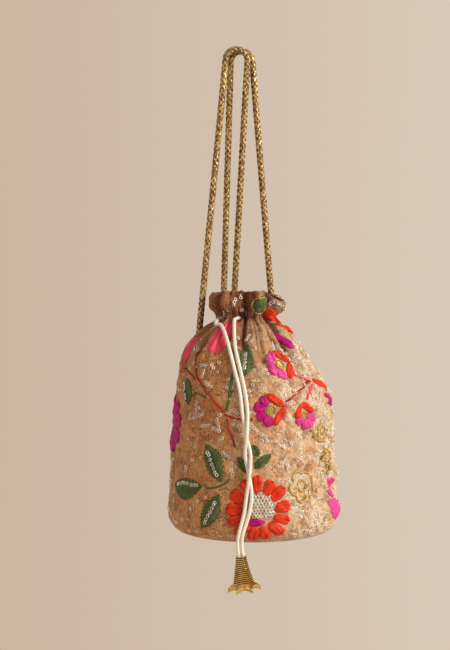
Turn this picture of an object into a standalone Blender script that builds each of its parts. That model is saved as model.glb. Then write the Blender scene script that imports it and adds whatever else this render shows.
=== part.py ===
"""A drawstring potli pouch hanging from its two rope handles.

One embroidered cloth body is gathered into a neck and a ruffled heading. A round base, a card disc and a lining
close it. A cord runs inside the neck casing, comes out at the front and ends in a fluted brass bell.
Metres, +Z up, +X to the right in the front view, which looks along +Y.
The origin is where a finger or a hook bears, under the top of the rope handles.
"""

import math

import bmesh
import bpy
from mathutils import Vector

MM = 0.001

# Where the pouch hangs
POUCH_X = 11.2 * MM  # the pouch axis beside the grip
BASE_Z = -381.0 * MM  # underside of the base below the grip
CLEARANCE = 0.4 * MM  # between pieces that touch

# Cloth body: each rise is above the level before it, and radii are over the ridges of the folds
BASE_RADIUS = 53.0 * MM  # seam circle where the body meets the base
CORNER_RADIUS = 14.5 * MM  # soft turn from the base up into the side
CLOTH = 1.2 * MM  # wall of the embroidered cloth
WAIST_HEIGHT = 104.0 * MM  # above the underside of the base
WAIST_RADIUS = 62.4 * MM
SHOULDER_RISE = 28.0 * MM
SHOULDER_RADIUS = 54.0 * MM
YOKE_RISE = 17.0 * MM
YOKE_RADIUS = 45.0 * MM
GATHER_RISE = 12.0 * MM
GATHER_RADIUS = 35.0 * MM
NECK_RISE = 8.5 * MM
NECK_RADIUS = 22.4 * MM
RUFFLE_RISE = 10.5 * MM
RUFFLE_RADIUS = 29.5 * MM
TOP_RISE = 11.0 * MM
TOP_RADIUS = 27.0 * MM
NECK_LEAN = -5.0 * MM  # the drawn neck sits a little to one side

# Depth of the folds from ridge to valley at the same levels
FOOT_FOLD = 0.5 * MM
WAIST_FOLD = 1.6 * MM
SHOULDER_FOLD = 3.0 * MM
YOKE_FOLD = 5.2 * MM
GATHER_FOLD = 7.0 * MM
NECK_FOLD = 7.0 * MM
RUFFLE_FOLD = 11.0 * MM
TOP_FOLD = 10.0 * MM
VALLEY_ANGLES = (197, 268, 313, 355, 400, 445, 485, 522)  # degrees, anticlockwise from +X
FOLD_SPREADS = (-1.0, 1.0, 4.5, 1.0, -1.0, 1.0, -1.0, 0.0)  # mm that each fold's ridge stands out in the ruffle
FOLD_RISES = (0.5, 0.0, -7.5, -3.0, 0.5, -1.0, 0.5, -0.5)  # mm that it stands up there
FOLD_STEPS = 6  # columns of faces in one fold

# Base, card and lining
BASE_THICK = 1.4 * MM
CARD_THICK = 1.6 * MM
CARD_RADIUS = 50.5 * MM
LINING = 0.7 * MM
LINING_CORNER = 11.0 * MM
LINING_SLACK = 0.6 * MM  # how far the lining hangs inside the side
SHOULDER_SLACK = 2.0 * MM  # inside the shoulder
YOKE_SLACK = 5.5 * MM  # and inside the yoke, where the rope ends are sewn in
GATHER_SLACK = 7.0 * MM
CASING_HALF = 3.5 * MM  # the lining is straight for this height above and below the drawstring
HEADING = 7.5 * MM  # the lining is sewn to the ruffle this far above the drawstring
LINING_SIDES = 28

# Rope handles
ROPE_DIAMETER = 5.4 * MM
ROPE_SIDES = 8
LOOP_RADIUS = 8.7 * MM  # bend of a handle over the finger
LOOP_SIDE = 2.0 * MM  # the two loops lie this far to either side of the grip
LOOP_DEPTH = 3.1 * MM  # and this far in front and behind it
ROPE_TUCK = 4.5 * MM  # length of rope inside the cloth
FRONT_LOOP_ENDS = ((169, 154.5 * MM), (104, 152 * MM))  # angle and height of the holes in the cloth
BACK_LOOP_ENDS = ((115, 150 * MM), (48, 156 * MM))

# Drawstring and bell
CORD_DIAMETER = 2.8 * MM
CORD_SIDES = 8
BELL_X = 0.5 * MM
BELL_Y = -71.5 * MM
BELL_TOP_Z = -387.5 * MM
BELL_LEAN = 6.0  # degrees, its foot to the right
BELL_HEIGHT = 19.5 * MM  # ribbed body above the flared lip
BELL_TOP_RADIUS = 4.1 * MM
BELL_FOOT_RADIUS = 6.9 * MM
BELL_LIP_RADIUS = 12.2 * MM  # at the corners
BELL_LIP_FLAT = 8.8 * MM  # between the corners
BELL_LIP_DROP = 3.4 * MM
BELL_LIP_BAND = 2.6 * MM
BELL_WALL = 0.7 * MM
BELL_RIBS = 9
BELL_RIB_DEPTH = 0.4 * MM
BELL_CORNERS = 6
BELL_CORNER_STEPS = 4
KNOT_RADIUS = 4.1 * MM

# Embroidery, stitched through the cloth and standing proud of it
STITCH_GAP = 0.45 * MM
STITCH_THICK = 0.8 * MM
PATCH_STEP = 4.8 * MM  # a patch of stitches bends with the cloth about this often
PETAL_STEPS = 3

CLOTH_COLOUR = (0.53, 0.33, 0.18)
LINING_COLOUR = (0.55, 0.38, 0.24)
CARD_COLOUR = (0.5, 0.42, 0.32)
ROPE_COLOUR = (0.42, 0.31, 0.09)
CORD_COLOUR = (0.83, 0.76, 0.6)
BRASS_COLOUR = (0.72, 0.5, 0.18)
ORANGE = (0.85, 0.07, 0.01)
CORAL = (0.9, 0.1, 0.08)
PINK = (0.85, 0.05, 0.22)
MAGENTA = (0.66, 0.0, 0.23)
GREEN = (0.03, 0.08, 0.02)
GOLD = (0.55, 0.36, 0.1)
SILVER = (0.7, 0.62, 0.5)
STEM_RED = (0.5, 0.06, 0.02)


def new_material(name, colour, roughness, metallic=0.0):
    material = bpy.data.materials.new(name)
    material.use_nodes = True
    shader = material.node_tree.nodes["Principled BSDF"]
    shader.inputs["Base Color"].default_value = (*colour, 1.0)
    shader.inputs["Roughness"].default_value = roughness
    shader.inputs["Metallic"].default_value = metallic
    return material


def new_object(name, data, material=None, collection="potli_pouch"):
    obj = bpy.data.objects.new(name, data)
    bpy.data.collections[collection].objects.link(obj)
    if material is not None:
        data.materials.append(material)
    return obj


def mesh_from(bm, name):
    mesh = bpy.data.meshes.new(name)
    bm.to_mesh(mesh)
    bm.free()
    mesh.shade_smooth()
    mesh.set_sharp_from_angle(angle=math.radians(50))
    return mesh


def clear_scene():
    for obj in list(bpy.data.objects):
        bpy.data.objects.remove(obj)
    for name in ("potli_pouch", "cutters"):
        collection = bpy.data.collections.new(name)
        bpy.context.scene.collection.children.link(collection)


def between(points, t):
    """A point of the smooth curve through the points, at t counted in points."""
    i = min(int(t), len(points) - 2)
    a, b = points[max(i - 1, 0)], points[i]
    c, d = points[i + 1], points[min(i + 2, len(points) - 1)]
    s = t - i
    return tuple(
        0.5 * (2 * q + (r - p) * s + (2 * p - 5 * q + 4 * r - w) * s ** 2 + (3 * q - p - 3 * r + w) * s ** 3)
        for p, q, r, w in zip(a, b, c, d)
    )


def smooth_route(points, steps):
    """The route again, with this many points to each of its spans, along the smooth curve through it."""
    count = (len(points) - 1) * steps
    return [Vector(between(points, k / steps)) for k in range(count + 1)]


SHOULDER_HEIGHT = WAIST_HEIGHT + SHOULDER_RISE
YOKE_HEIGHT = SHOULDER_HEIGHT + YOKE_RISE
GATHER_HEIGHT = YOKE_HEIGHT + GATHER_RISE
NECK_HEIGHT = GATHER_HEIGHT + NECK_RISE
RUFFLE_HEIGHT = NECK_HEIGHT + RUFFLE_RISE
TOP_HEIGHT = RUFFLE_HEIGHT + TOP_RISE
FOOT_RADIUS = BASE_RADIUS + CORNER_RADIUS

# The cloth from its base seam up to its top edge, as (height, radius over the ridges, depth of the folds)
STATIONS = (
    (CORNER_RADIUS, FOOT_RADIUS, FOOT_FOLD),
    (WAIST_HEIGHT / 2, (FOOT_RADIUS + WAIST_RADIUS) / 2 + 0.6 * MM, (FOOT_FOLD + WAIST_FOLD) / 2),
    (WAIST_HEIGHT, WAIST_RADIUS, WAIST_FOLD),
    (SHOULDER_HEIGHT, SHOULDER_RADIUS, SHOULDER_FOLD),
    (YOKE_HEIGHT, YOKE_RADIUS, YOKE_FOLD),
    (GATHER_HEIGHT, GATHER_RADIUS, GATHER_FOLD),
    (NECK_HEIGHT, NECK_RADIUS, NECK_FOLD),
    (RUFFLE_HEIGHT, RUFFLE_RADIUS, RUFFLE_FOLD),
    (TOP_HEIGHT, TOP_RADIUS, TOP_FOLD),
)
STATION_STEPS = (1, 2, 2, 2, 1, 2, 2, 2)
CORNER_STEPS = 5


def cloth_rows():
    rows = []
    for k in range(CORNER_STEPS):
        turn = math.pi / 2 * k / CORNER_STEPS
        height = CLEARANCE + (CORNER_RADIUS - CLEARANCE) * (1 - math.cos(turn))
        rows.append((height, BASE_RADIUS + CORNER_RADIUS * math.sin(turn), FOOT_FOLD * math.sin(turn)))
    for i, steps in enumerate(STATION_STEPS):
        rows += [between(STATIONS, i + k / steps) for k in range(steps)]
    return rows + [STATIONS[-1]]


CLOTH_ROWS = cloth_rows()


def climbs():
    """Distance up the cloth from its base seam to each row."""
    total = [0.0]
    for low, high in zip(CLOTH_ROWS, CLOTH_ROWS[1:]):
        total.append(total[-1] + math.hypot(high[0] - low[0], high[1] - low[1]))
    return total


CLIMBS = climbs()


def row_at(value, scale):
    """(height, radius, fold depth) where the rising scale, which has one entry for each row, has the value."""
    k = 0
    while k < len(scale) - 2 and scale[k + 1] < value:
        k += 1
    share = (value - scale[k]) / (scale[k + 1] - scale[k])
    return tuple(low + (high - low) * share for low, high in zip(CLOTH_ROWS[k], CLOTH_ROWS[k + 1]))


HEIGHTS = [row[0] for row in CLOTH_ROWS]


def lean_at(height):
    """Sideways offset of the pouch's centre at a height."""
    share = (height - WAIST_HEIGHT) / (NECK_HEIGHT - WAIST_HEIGHT)
    share = min(max(share, 0.0), 1.0)
    return NECK_LEAN * share * share * (3 - 2 * share)


def fold_at(angle):
    """The fold that an angle in degrees lies in, and how far from its first valley, at 0, to its next, at 1."""
    turn = (angle - VALLEY_ANGLES[0]) % 360 + VALLEY_ANGLES[0]
    ends = (*VALLEY_ANGLES, VALLEY_ANGLES[0] + 360)
    fold = max(i for i, low in enumerate(VALLEY_ANGLES) if low <= turn)
    return fold, (turn - ends[fold]) / (ends[fold + 1] - ends[fold])


def pinch(phase):
    """1 in a valley and 0 on the rounded ridge between two valleys."""
    return 1 - abs(math.sin(math.pi * phase))


def place(radius, angle, height):
    turn = math.radians(angle)
    x = POUCH_X + lean_at(height) + radius * math.cos(turn)
    return Vector((x, radius * math.sin(turn), BASE_Z + height))


def on_row(row, angle):
    height, radius, depth = row
    fold, phase = fold_at(angle)
    ruffle = max(height - NECK_HEIGHT, 0.0) / (TOP_HEIGHT - NECK_HEIGHT) * (1 - pinch(phase))
    spread, rise = FOLD_SPREADS[fold] * MM * ruffle, FOLD_RISES[fold] * MM * ruffle
    return place(radius - depth * pinch(phase) + spread, angle, height + rise)


def cloth_point(angle, climb, lift=0.0):
    """A point of the cloth's outer face at a distance up the cloth, or lift outside it."""
    point = on_row(row_at(climb, CLIMBS), angle)
    if not lift:
        return point
    step = 1.5 * MM
    around = on_row(row_at(climb, CLIMBS), angle + 2) - on_row(row_at(climb, CLIMBS), angle - 2)
    up = on_row(row_at(climb + step, CLIMBS), angle) - on_row(row_at(climb - step, CLIMBS), angle)
    return point + around.cross(up).normalized() * lift


def rising(points):
    """(angle, climb) of a rope's foot from its (angle, height)."""
    angle, height = points
    share = row_at(height, HEIGHTS)
    k = max(i for i, row in enumerate(CLOTH_ROWS) if row[0] <= height)
    return angle, CLIMBS[k] + math.hypot(height - CLOTH_ROWS[k][0], share[1] - CLOTH_ROWS[k][1])


def spin_profile(rows, steps, closed=False):
    """A surface turned round +Z from (height, radius) pairs."""
    bm = bmesh.new()
    verts = [bm.verts.new((radius, 0, height)) for height, radius in rows]
    edges = [bm.edges.new(pair) for pair in zip(verts, verts[1:] + verts[:1] if closed else verts[1:])]
    bmesh.ops.spin(
        bm, geom=verts + edges, cent=(0, 0, 0), axis=(0, 0, 1), angle=math.tau, steps=steps, use_merge=True
    )
    bmesh.ops.remove_doubles(bm, verts=bm.verts, dist=0.00001)
    bmesh.ops.recalc_face_normals(bm, faces=bm.faces)
    if sum(face.normal.xy.dot(face.calc_center_median().xy) for face in bm.faces) < 0:
        bmesh.ops.reverse_faces(bm, faces=bm.faces)
    return bm


def add_solidify(obj, thickness, offset):
    wall = obj.modifiers.new("wall", "SOLIDIFY")
    wall.thickness = thickness
    wall.offset = offset
    return wall


def add_cut(obj, cutter):
    hole = obj.modifiers.new("hole", "BOOLEAN")
    hole.operation = "DIFFERENCE"
    hole.object = cutter


def cutter_along(name, start, end, diameter):
    """A round cutter from start to end."""
    bm = bmesh.new()
    radius, depth = diameter / 2, (end - start).length
    bmesh.ops.create_cone(bm, cap_ends=True, segments=12, radius1=radius, radius2=radius, depth=depth)
    obj = new_object(name, mesh_from(bm, name), collection="cutters")
    obj.location = (start + end) / 2
    obj.rotation_mode = "QUATERNION"
    obj.rotation_quaternion = (end - start).to_track_quat("Z", "Y")
    obj.hide_render = True
    obj.display_type = "WIRE"
    return obj


def add_tube(name, route, diameter, sides, material):
    """A cord or rope as a filled tube along a route."""
    curve = bpy.data.curves.new(name, "CURVE")
    curve.dimensions = "3D"
    spline = curve.splines.new("POLY")
    spline.points.add(len(route) - 1)
    for point, at in zip(spline.points, route):
        point.co = (*at, 1.0)
    curve.bevel_depth = diameter / 2
    curve.bevel_resolution = sides // 2 - 2
    curve.use_fill_caps = True
    return new_object(name, curve, material)


def build_body(material):
    """The body: a turned surface whose columns are then drawn into folds."""
    bm = spin_profile([row[:2] for row in CLOTH_ROWS], len(VALLEY_ANGLES) * FOLD_STEPS)
    ends = (*VALLEY_ANGLES, VALLEY_ANGLES[0] + 360)
    for vert in bm.verts:
        row = min(CLOTH_ROWS, key=lambda row: abs(row[0] - vert.co.z) + abs(row[1] - vert.co.xy.length))
        column = round(math.atan2(vert.co.y, vert.co.x) / math.tau % 1 * len(VALLEY_ANGLES) * FOLD_STEPS)
        fold, step = divmod(column % (len(VALLEY_ANGLES) * FOLD_STEPS), FOLD_STEPS)
        vert.co = on_row(row, ends[fold] + (ends[fold + 1] - ends[fold]) * step / FOLD_STEPS)
    body = new_object("cloth_body", mesh_from(bm, "cloth_body"), material)
    add_solidify(body, CLOTH, -1)
    return body


def build_base(cloth, card):
    """The round base under the body, and the card disc that stiffens it."""
    for name, radius, foot, thick, material in (
        ("base_panel", BASE_RADIUS - 2 * CLEARANCE, 0.0, BASE_THICK, cloth),
        ("base_card", CARD_RADIUS, BASE_THICK + CLEARANCE, CARD_THICK, card),
    ):
        bm = bmesh.new()
        bmesh.ops.create_cone(bm, cap_ends=True, segments=48, radius1=radius, radius2=radius, depth=thick)
        disc = new_object(name, mesh_from(bm, name), material)
        disc.location = (POUCH_X, 0, BASE_Z + foot + thick / 2)


def build_lining(material):
    """The lining: a smooth bag that hangs inside the folds and passes inside the drawstring."""
    foot = BASE_THICK + CARD_THICK + 2 * CLEARANCE

    def inside(height, slack):
        _, radius, fold = row_at(height, HEIGHTS)
        return height, radius - fold - CLOTH - slack

    throat = NECK_RADIUS - NECK_FOLD - CLOTH - CORD_DIAMETER - 2 * CLEARANCE
    side = inside(foot + LINING_CORNER, LINING_SLACK)[1]
    rows = [(foot, 0.0)]
    for k in range(3):
        turn = math.pi / 2 * k / 3
        drop = LINING_CORNER * (1 - math.cos(turn))
        rows.append((foot + drop, side - LINING_CORNER * (1 - math.sin(turn))))
    rows.append((foot + LINING_CORNER, side))
    rows.append(inside(WAIST_HEIGHT / 2, LINING_SLACK))
    rows.append(inside(WAIST_HEIGHT, LINING_SLACK))
    rows.append(inside((WAIST_HEIGHT + SHOULDER_HEIGHT) / 2, LINING_SLACK))
    rows.append(inside(SHOULDER_HEIGHT, SHOULDER_SLACK))
    rows.append(inside(YOKE_HEIGHT, YOKE_SLACK))
    rows.append(inside(GATHER_HEIGHT, GATHER_SLACK))
    rows.append((NECK_HEIGHT - CASING_HALF, throat))
    rows.append((NECK_HEIGHT + CASING_HALF, throat))
    rows.append(inside(NECK_HEIGHT + HEADING, 2 * CLEARANCE))
    bm = spin_profile(rows, LINING_SIDES)
    for vert in bm.verts:
        vert.co += Vector((POUCH_X + lean_at(vert.co.z), 0, BASE_Z))
    lining = new_object("lining", mesh_from(bm, "lining"), material)
    add_solidify(lining, LINING, -1)


def handle_route(ends, side, depth):
    """One handle: up from its first end, over the finger and down to its other end."""
    centre = Vector((side, depth, ROPE_DIAMETER / 2 - LOOP_RADIUS))
    strands = []
    for end, way in zip(ends, (-1, 1)):
        foot = cloth_point(*rising(end))
        top = centre + Vector((way * LOOP_RADIUS, 0, 0))
        inner = foot - (top - foot).normalized() * (ROPE_TUCK + CLOTH)
        strands.append([inner.lerp(top, k / 12) for k in range(12)])
    turns = [math.pi - math.pi * k / 6 for k in range(7)]
    loop = [centre + Vector((LOOP_RADIUS * math.cos(t), 0, LOOP_RADIUS * math.sin(t))) for t in turns]
    return strands[0] + loop + strands[1][::-1]


def build_handles(material, body):
    """Both rope handles, and the holes in the body that their ends go through."""
    for name, ends, way in (("handle_front", FRONT_LOOP_ENDS, -1), ("handle_back", BACK_LOOP_ENDS, 1)):
        route = handle_route(ends, LOOP_SIDE * way, LOOP_DEPTH * way)
        add_tube(name, route, ROPE_DIAMETER, ROPE_SIDES, material)
        for end, (first, second) in enumerate(((route[0], route[1]), (route[-1], route[-2]))):
            pull = (second - first).normalized()
            start, stop = first - pull * CLEARANCE, first + pull * 4 * ROPE_TUCK
            add_cut(body, cutter_along(f"{name}_hole_{end}", start, stop, ROPE_DIAMETER + 2 * CLEARANCE))


# The drawstring's two strands from the casing down to the bell, which twist over each other on the way:
# angle, distance up the cloth, and how far over the other strand they pass
LEFT_STRAND = (
    (236, 177 * MM, 0.0),
    (247.5, 167 * MM, 0.0),
    (254.5, 155 * MM, 0.0),
    (257.5, 140 * MM, 0.0),
    (259.7, 121 * MM, 0.0),
    (261.5, 105 * MM, 0.0),
    (264.2, 89 * MM, 0.0),
    (267.0, 75 * MM, 0.4 * MM),
    (266.2, 60 * MM, 3.9 * MM),
    (264.5, 46 * MM, 1.0 * MM),
    (263.0, 34 * MM, 0.0),
)
RIGHT_STRAND = (
    (250, 181 * MM, 0.0),
    (259, 158 * MM, 0.0),
    (261.8, 142 * MM, 0.0),
    (263.3, 121 * MM, 0.0),
    (264.9, 105 * MM, 0.5 * MM),
    (264.5, 89 * MM, 3.9 * MM),
    (263.5, 75 * MM, 0.4 * MM),
    (266.0, 60 * MM, 0.0),
    (267.8, 46 * MM, 0.0),
    (266.1, 34 * MM, 0.0),
)


def drawstring_route():
    """The drawstring from its end in the bell, up, round the casing, out and down to the bell again."""
    ring = NECK_RADIUS - NECK_FOLD - CLOTH - CLEARANCE - CORD_DIAMETER / 2
    lift = STITCH_GAP + STITCH_THICK + CLEARANCE + CORD_DIAMETER / 2
    bell_top = Vector((BELL_X, BELL_Y, BELL_TOP_Z))
    half = CORD_DIAMETER / 2 + 0.15 * MM

    def beside(height, side, out=0.0):
        return bell_top + Vector((side * half - height * math.tan(math.radians(BELL_LEAN)), -out, height))

    left = [beside(-4.0 * MM, -1), beside(2.0 * MM, -1), beside(9.0 * MM, -1)]
    left.append(bell_top + Vector((-1.4 * MM, -0.5 * MM, 17.0 * MM)))
    left += [cloth_point(angle, climb, lift + over) for angle, climb, over in reversed(LEFT_STRAND)]
    left.append(place(NECK_RADIUS + 12.5 * MM, 226, NECK_HEIGHT - 5.0 * MM))
    left.append(place(NECK_RADIUS + 2.5 * MM, 206, NECK_HEIGHT - 1.0 * MM))
    left.append(place(NECK_RADIUS - 4.0 * MM, 198, NECK_HEIGHT))
    left.append(place(ring + 1.6 * MM, 192, NECK_HEIGHT))
    around = [place(ring, angle, NECK_HEIGHT) for angle in range(182, -100, -28)]
    right = [place(ring + 0.8 * MM, 256.5, NECK_HEIGHT)]
    right.append(place(ring + 3.6 * MM, 252.5, NECK_HEIGHT))
    right.append(place(NECK_RADIUS - 1.9 * MM, 250.5, NECK_HEIGHT))
    right.append(place(NECK_RADIUS + 2.5 * MM, 249, NECK_HEIGHT - 1.0 * MM))
    right += [cloth_point(angle, climb, lift + over) for angle, climb, over in RIGHT_STRAND]
    right.append(bell_top + Vector((1.6 * MM, -0.5 * MM, 17.0 * MM)))
    right += [beside(9.0 * MM, 1), beside(2.0 * MM, 1), beside(-4.0 * MM, 1)]
    return left, around, right


def build_drawstring(material, body):
    """The drawstring, and the two holes where it leaves the casing."""
    left, around, right = drawstring_route()
    add_tube("drawstring", smooth_route(left + around + right, 2), CORD_DIAMETER, CORD_SIDES, material)
    for name, inner, outer in (("left", left[-1], left[-2]), ("right", right[1], right[2])):
        pull = (outer - inner).normalized()
        start, stop = inner - pull * CORD_DIAMETER, outer + pull * CORD_DIAMETER
        add_cut(body, cutter_along(f"drawstring_hole_{name}", start, stop, CORD_DIAMETER + 3 * CLEARANCE))


def bell_rows():
    """The bell's section, down its ribbed outside and up its smooth inside: (height, radius, corner share)."""
    rows = []
    for k in range(2 * BELL_RIBS + 1):
        share = k / (2 * BELL_RIBS)
        groove = BELL_RIB_DEPTH if k % 2 else 0.0
        radius = BELL_TOP_RADIUS + (BELL_FOOT_RADIUS - BELL_TOP_RADIUS) * share ** 1.4
        rows.append((-BELL_HEIGHT * share, radius - groove, 0.35 * share))
    rows.append((-BELL_HEIGHT - 0.4 * BELL_LIP_DROP, BELL_LIP_FLAT, 1.0))
    rows.append((-BELL_HEIGHT - 0.4 * BELL_LIP_DROP - BELL_LIP_BAND, BELL_LIP_FLAT, 1.0))
    rows.append((-BELL_HEIGHT - 0.4 * BELL_LIP_DROP - BELL_LIP_BAND, BELL_LIP_FLAT - BELL_WALL, 1.0))
    rows.append((-BELL_HEIGHT, BELL_FOOT_RADIUS - BELL_WALL - BELL_RIB_DEPTH, 0.35))
    rows.append((0.0, BELL_TOP_RADIUS - BELL_WALL, 0.0))
    return rows


def build_bell(material):
    """The brass bell: a turned cone whose lip is pulled out and down into corners."""
    rows = bell_rows()
    bm = spin_profile([row[:2] for row in rows], BELL_CORNERS * BELL_CORNER_STEPS, closed=True)
    for vert in bm.verts:
        radius, height = vert.co.xy.length, vert.co.z
        corner = min(rows, key=lambda row: abs(row[0] - height) + abs(row[1] - radius))[2]
        turn = math.atan2(vert.co.y, vert.co.x) / math.tau * BELL_CORNERS
        pull = corner * pinch(turn) ** 1.2
        vert.co.xy *= (radius + (BELL_LIP_RADIUS - BELL_LIP_FLAT) * pull) / radius
        vert.co.z -= 0.6 * BELL_LIP_DROP * pull * corner
    bell = new_object("bell", mesh_from(bm, "bell"), material)
    bell.location = (BELL_X, BELL_Y, BELL_TOP_Z)
    bell.rotation_euler.y = -math.radians(BELL_LEAN)


def build_knot(material):
    """The knot that holds the bell on, seated inside its cone."""
    taper = (BELL_FOOT_RADIUS - BELL_RIB_DEPTH - BELL_TOP_RADIUS) / BELL_HEIGHT
    depth = (KNOT_RADIUS + CLEARANCE - BELL_TOP_RADIUS + BELL_WALL) / taper
    bm = bmesh.new()
    bmesh.ops.create_uvsphere(bm, u_segments=12, v_segments=8, radius=KNOT_RADIUS)
    knot = new_object("end_knot", mesh_from(bm, "end_knot"), material)
    lean = math.radians(BELL_LEAN)
    knot.location = (BELL_X + depth * math.sin(lean), BELL_Y, BELL_TOP_Z - depth * math.cos(lean))
    knot.rotation_euler.y = -lean


def add_patch(name, bm, at, turn, material):
    """Lay a flat outline on the cloth at (angle, climb), turned anticlockwise, and give it its thickness."""
    bmesh.ops.reverse_faces(bm, faces=[face for face in bm.faces if face.normal.z < 0])
    angle, climb = at
    radius = row_at(climb, CLIMBS)[1]
    c, s = math.cos(math.radians(turn)), math.sin(math.radians(turn))
    for vert in bm.verts:
        right, up = vert.co.x * c - vert.co.y * s, vert.co.x * s + vert.co.y * c
        vert.co = cloth_point(angle + math.degrees(right / radius), climb + up, STITCH_GAP)
    patch = new_object(name, mesh_from(bm, name), material)
    add_solidify(patch, STITCH_THICK, 1)


def leaf_outline(length, width, bend=0.0):
    """A leaf along +X from its stalk to its tip."""
    bm = bmesh.new()
    bmesh.ops.create_grid(bm, x_segments=max(4, round(length / PATCH_STEP)), y_segments=2, size=1)
    for vert in bm.verts:
        along, across = (vert.co.x + 1) / 2, vert.co.y
        half = width / 2 * (0.1 + 0.9 * math.sin(math.pi * along ** 0.85))
        vert.co = (along * length, across * half + bend * math.sin(math.pi * along), 0)
    bm.normal_update()
    return bm


def add_leaf(name, stalk, tip, width, material, bend=0.0):
    """A leaf from its stalk to its tip, both given as (angle, climb)."""
    radius = row_at((stalk[1] + tip[1]) / 2, CLIMBS)[1]
    right, up = math.radians(tip[0] - stalk[0]) * radius, tip[1] - stalk[1]
    bm = leaf_outline(math.hypot(right, up), width, bend)
    add_patch(name, bm, stalk, math.degrees(math.atan2(up, right)), material)


def petal_ring(inner, outer, petals, share=1.0):
    """A ring of petals, or a share of one that starts at +X."""
    bm = bmesh.new()
    rows = max(1, round((outer - inner) / PATCH_STEP))
    verts = [bm.verts.new((inner + (outer - inner) * k / rows, 0, 0)) for k in range(rows + 1)]
    edges = [bm.edges.new(pair) for pair in zip(verts, verts[1:])]
    steps = PETAL_STEPS * petals
    bmesh.ops.spin(
        bm, geom=verts + edges, cent=(0, 0, 0), axis=(0, 0, 1), angle=math.tau * share, steps=steps,
        use_merge=share == 1.0,
    )
    for vert in bm.verts:
        radius = vert.co.length
        phase = math.atan2(vert.co.y, vert.co.x) / math.tau % 1 / share * petals
        notch = 0.22 * (outer - inner) * pinch(phase)
        vert.co *= (radius - notch * (radius - inner) / (outer - inner)) / radius
    bmesh.ops.remove_doubles(bm, verts=bm.verts, dist=0.00001)
    bm.normal_update()
    return bm


def disc_outline(radius):
    bm = bmesh.new()
    bmesh.ops.create_circle(bm, cap_ends=True, cap_tris=True, segments=12, radius=radius)
    bm.normal_update()
    return bm


def add_stem(name, points, width, material):
    """A ribbon of stitches along a route of (angle, climb)."""
    bm = bmesh.new()
    steps = 2 * (len(points) - 1)
    bmesh.ops.create_grid(bm, x_segments=steps, y_segments=1, size=1)
    radius = row_at(points[0][1], CLIMBS)[1]
    flat = [(math.radians(angle - points[0][0]) * radius, climb - points[0][1]) for angle, climb in points]
    for vert in bm.verts:
        t = (vert.co.x + 1) / 2 * (len(points) - 1)
        x, y = between(flat, t)
        x0, y0 = between(flat, max(t - 0.05, 0))
        x1, y1 = between(flat, min(t + 0.05, len(points) - 1))
        run = math.hypot(x1 - x0, y1 - y0)
        side = vert.co.y * width / 2
        vert.co = (x - side * (y1 - y0) / run, y + side * (x1 - x0) / run, 0)
    bm.normal_update()
    add_patch(name, bm, points[0], 0, material)


def add_blossom(name, at, inner, outer, petals, halves, turn, centre):
    """A small flower: two half rings of petals, each in its own colour, round a centre."""
    for side, material in zip(("a", "b"), halves):
        half = petal_ring(inner, outer, petals // 2, share=0.485)
        add_patch(f"{name}_petals_{side}", half, at, turn + (180 if side == "b" else 0), material)
    add_patch(f"{name}_centre", disc_outline(inner - 2 * CLEARANCE), at, turn, centre)


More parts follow.
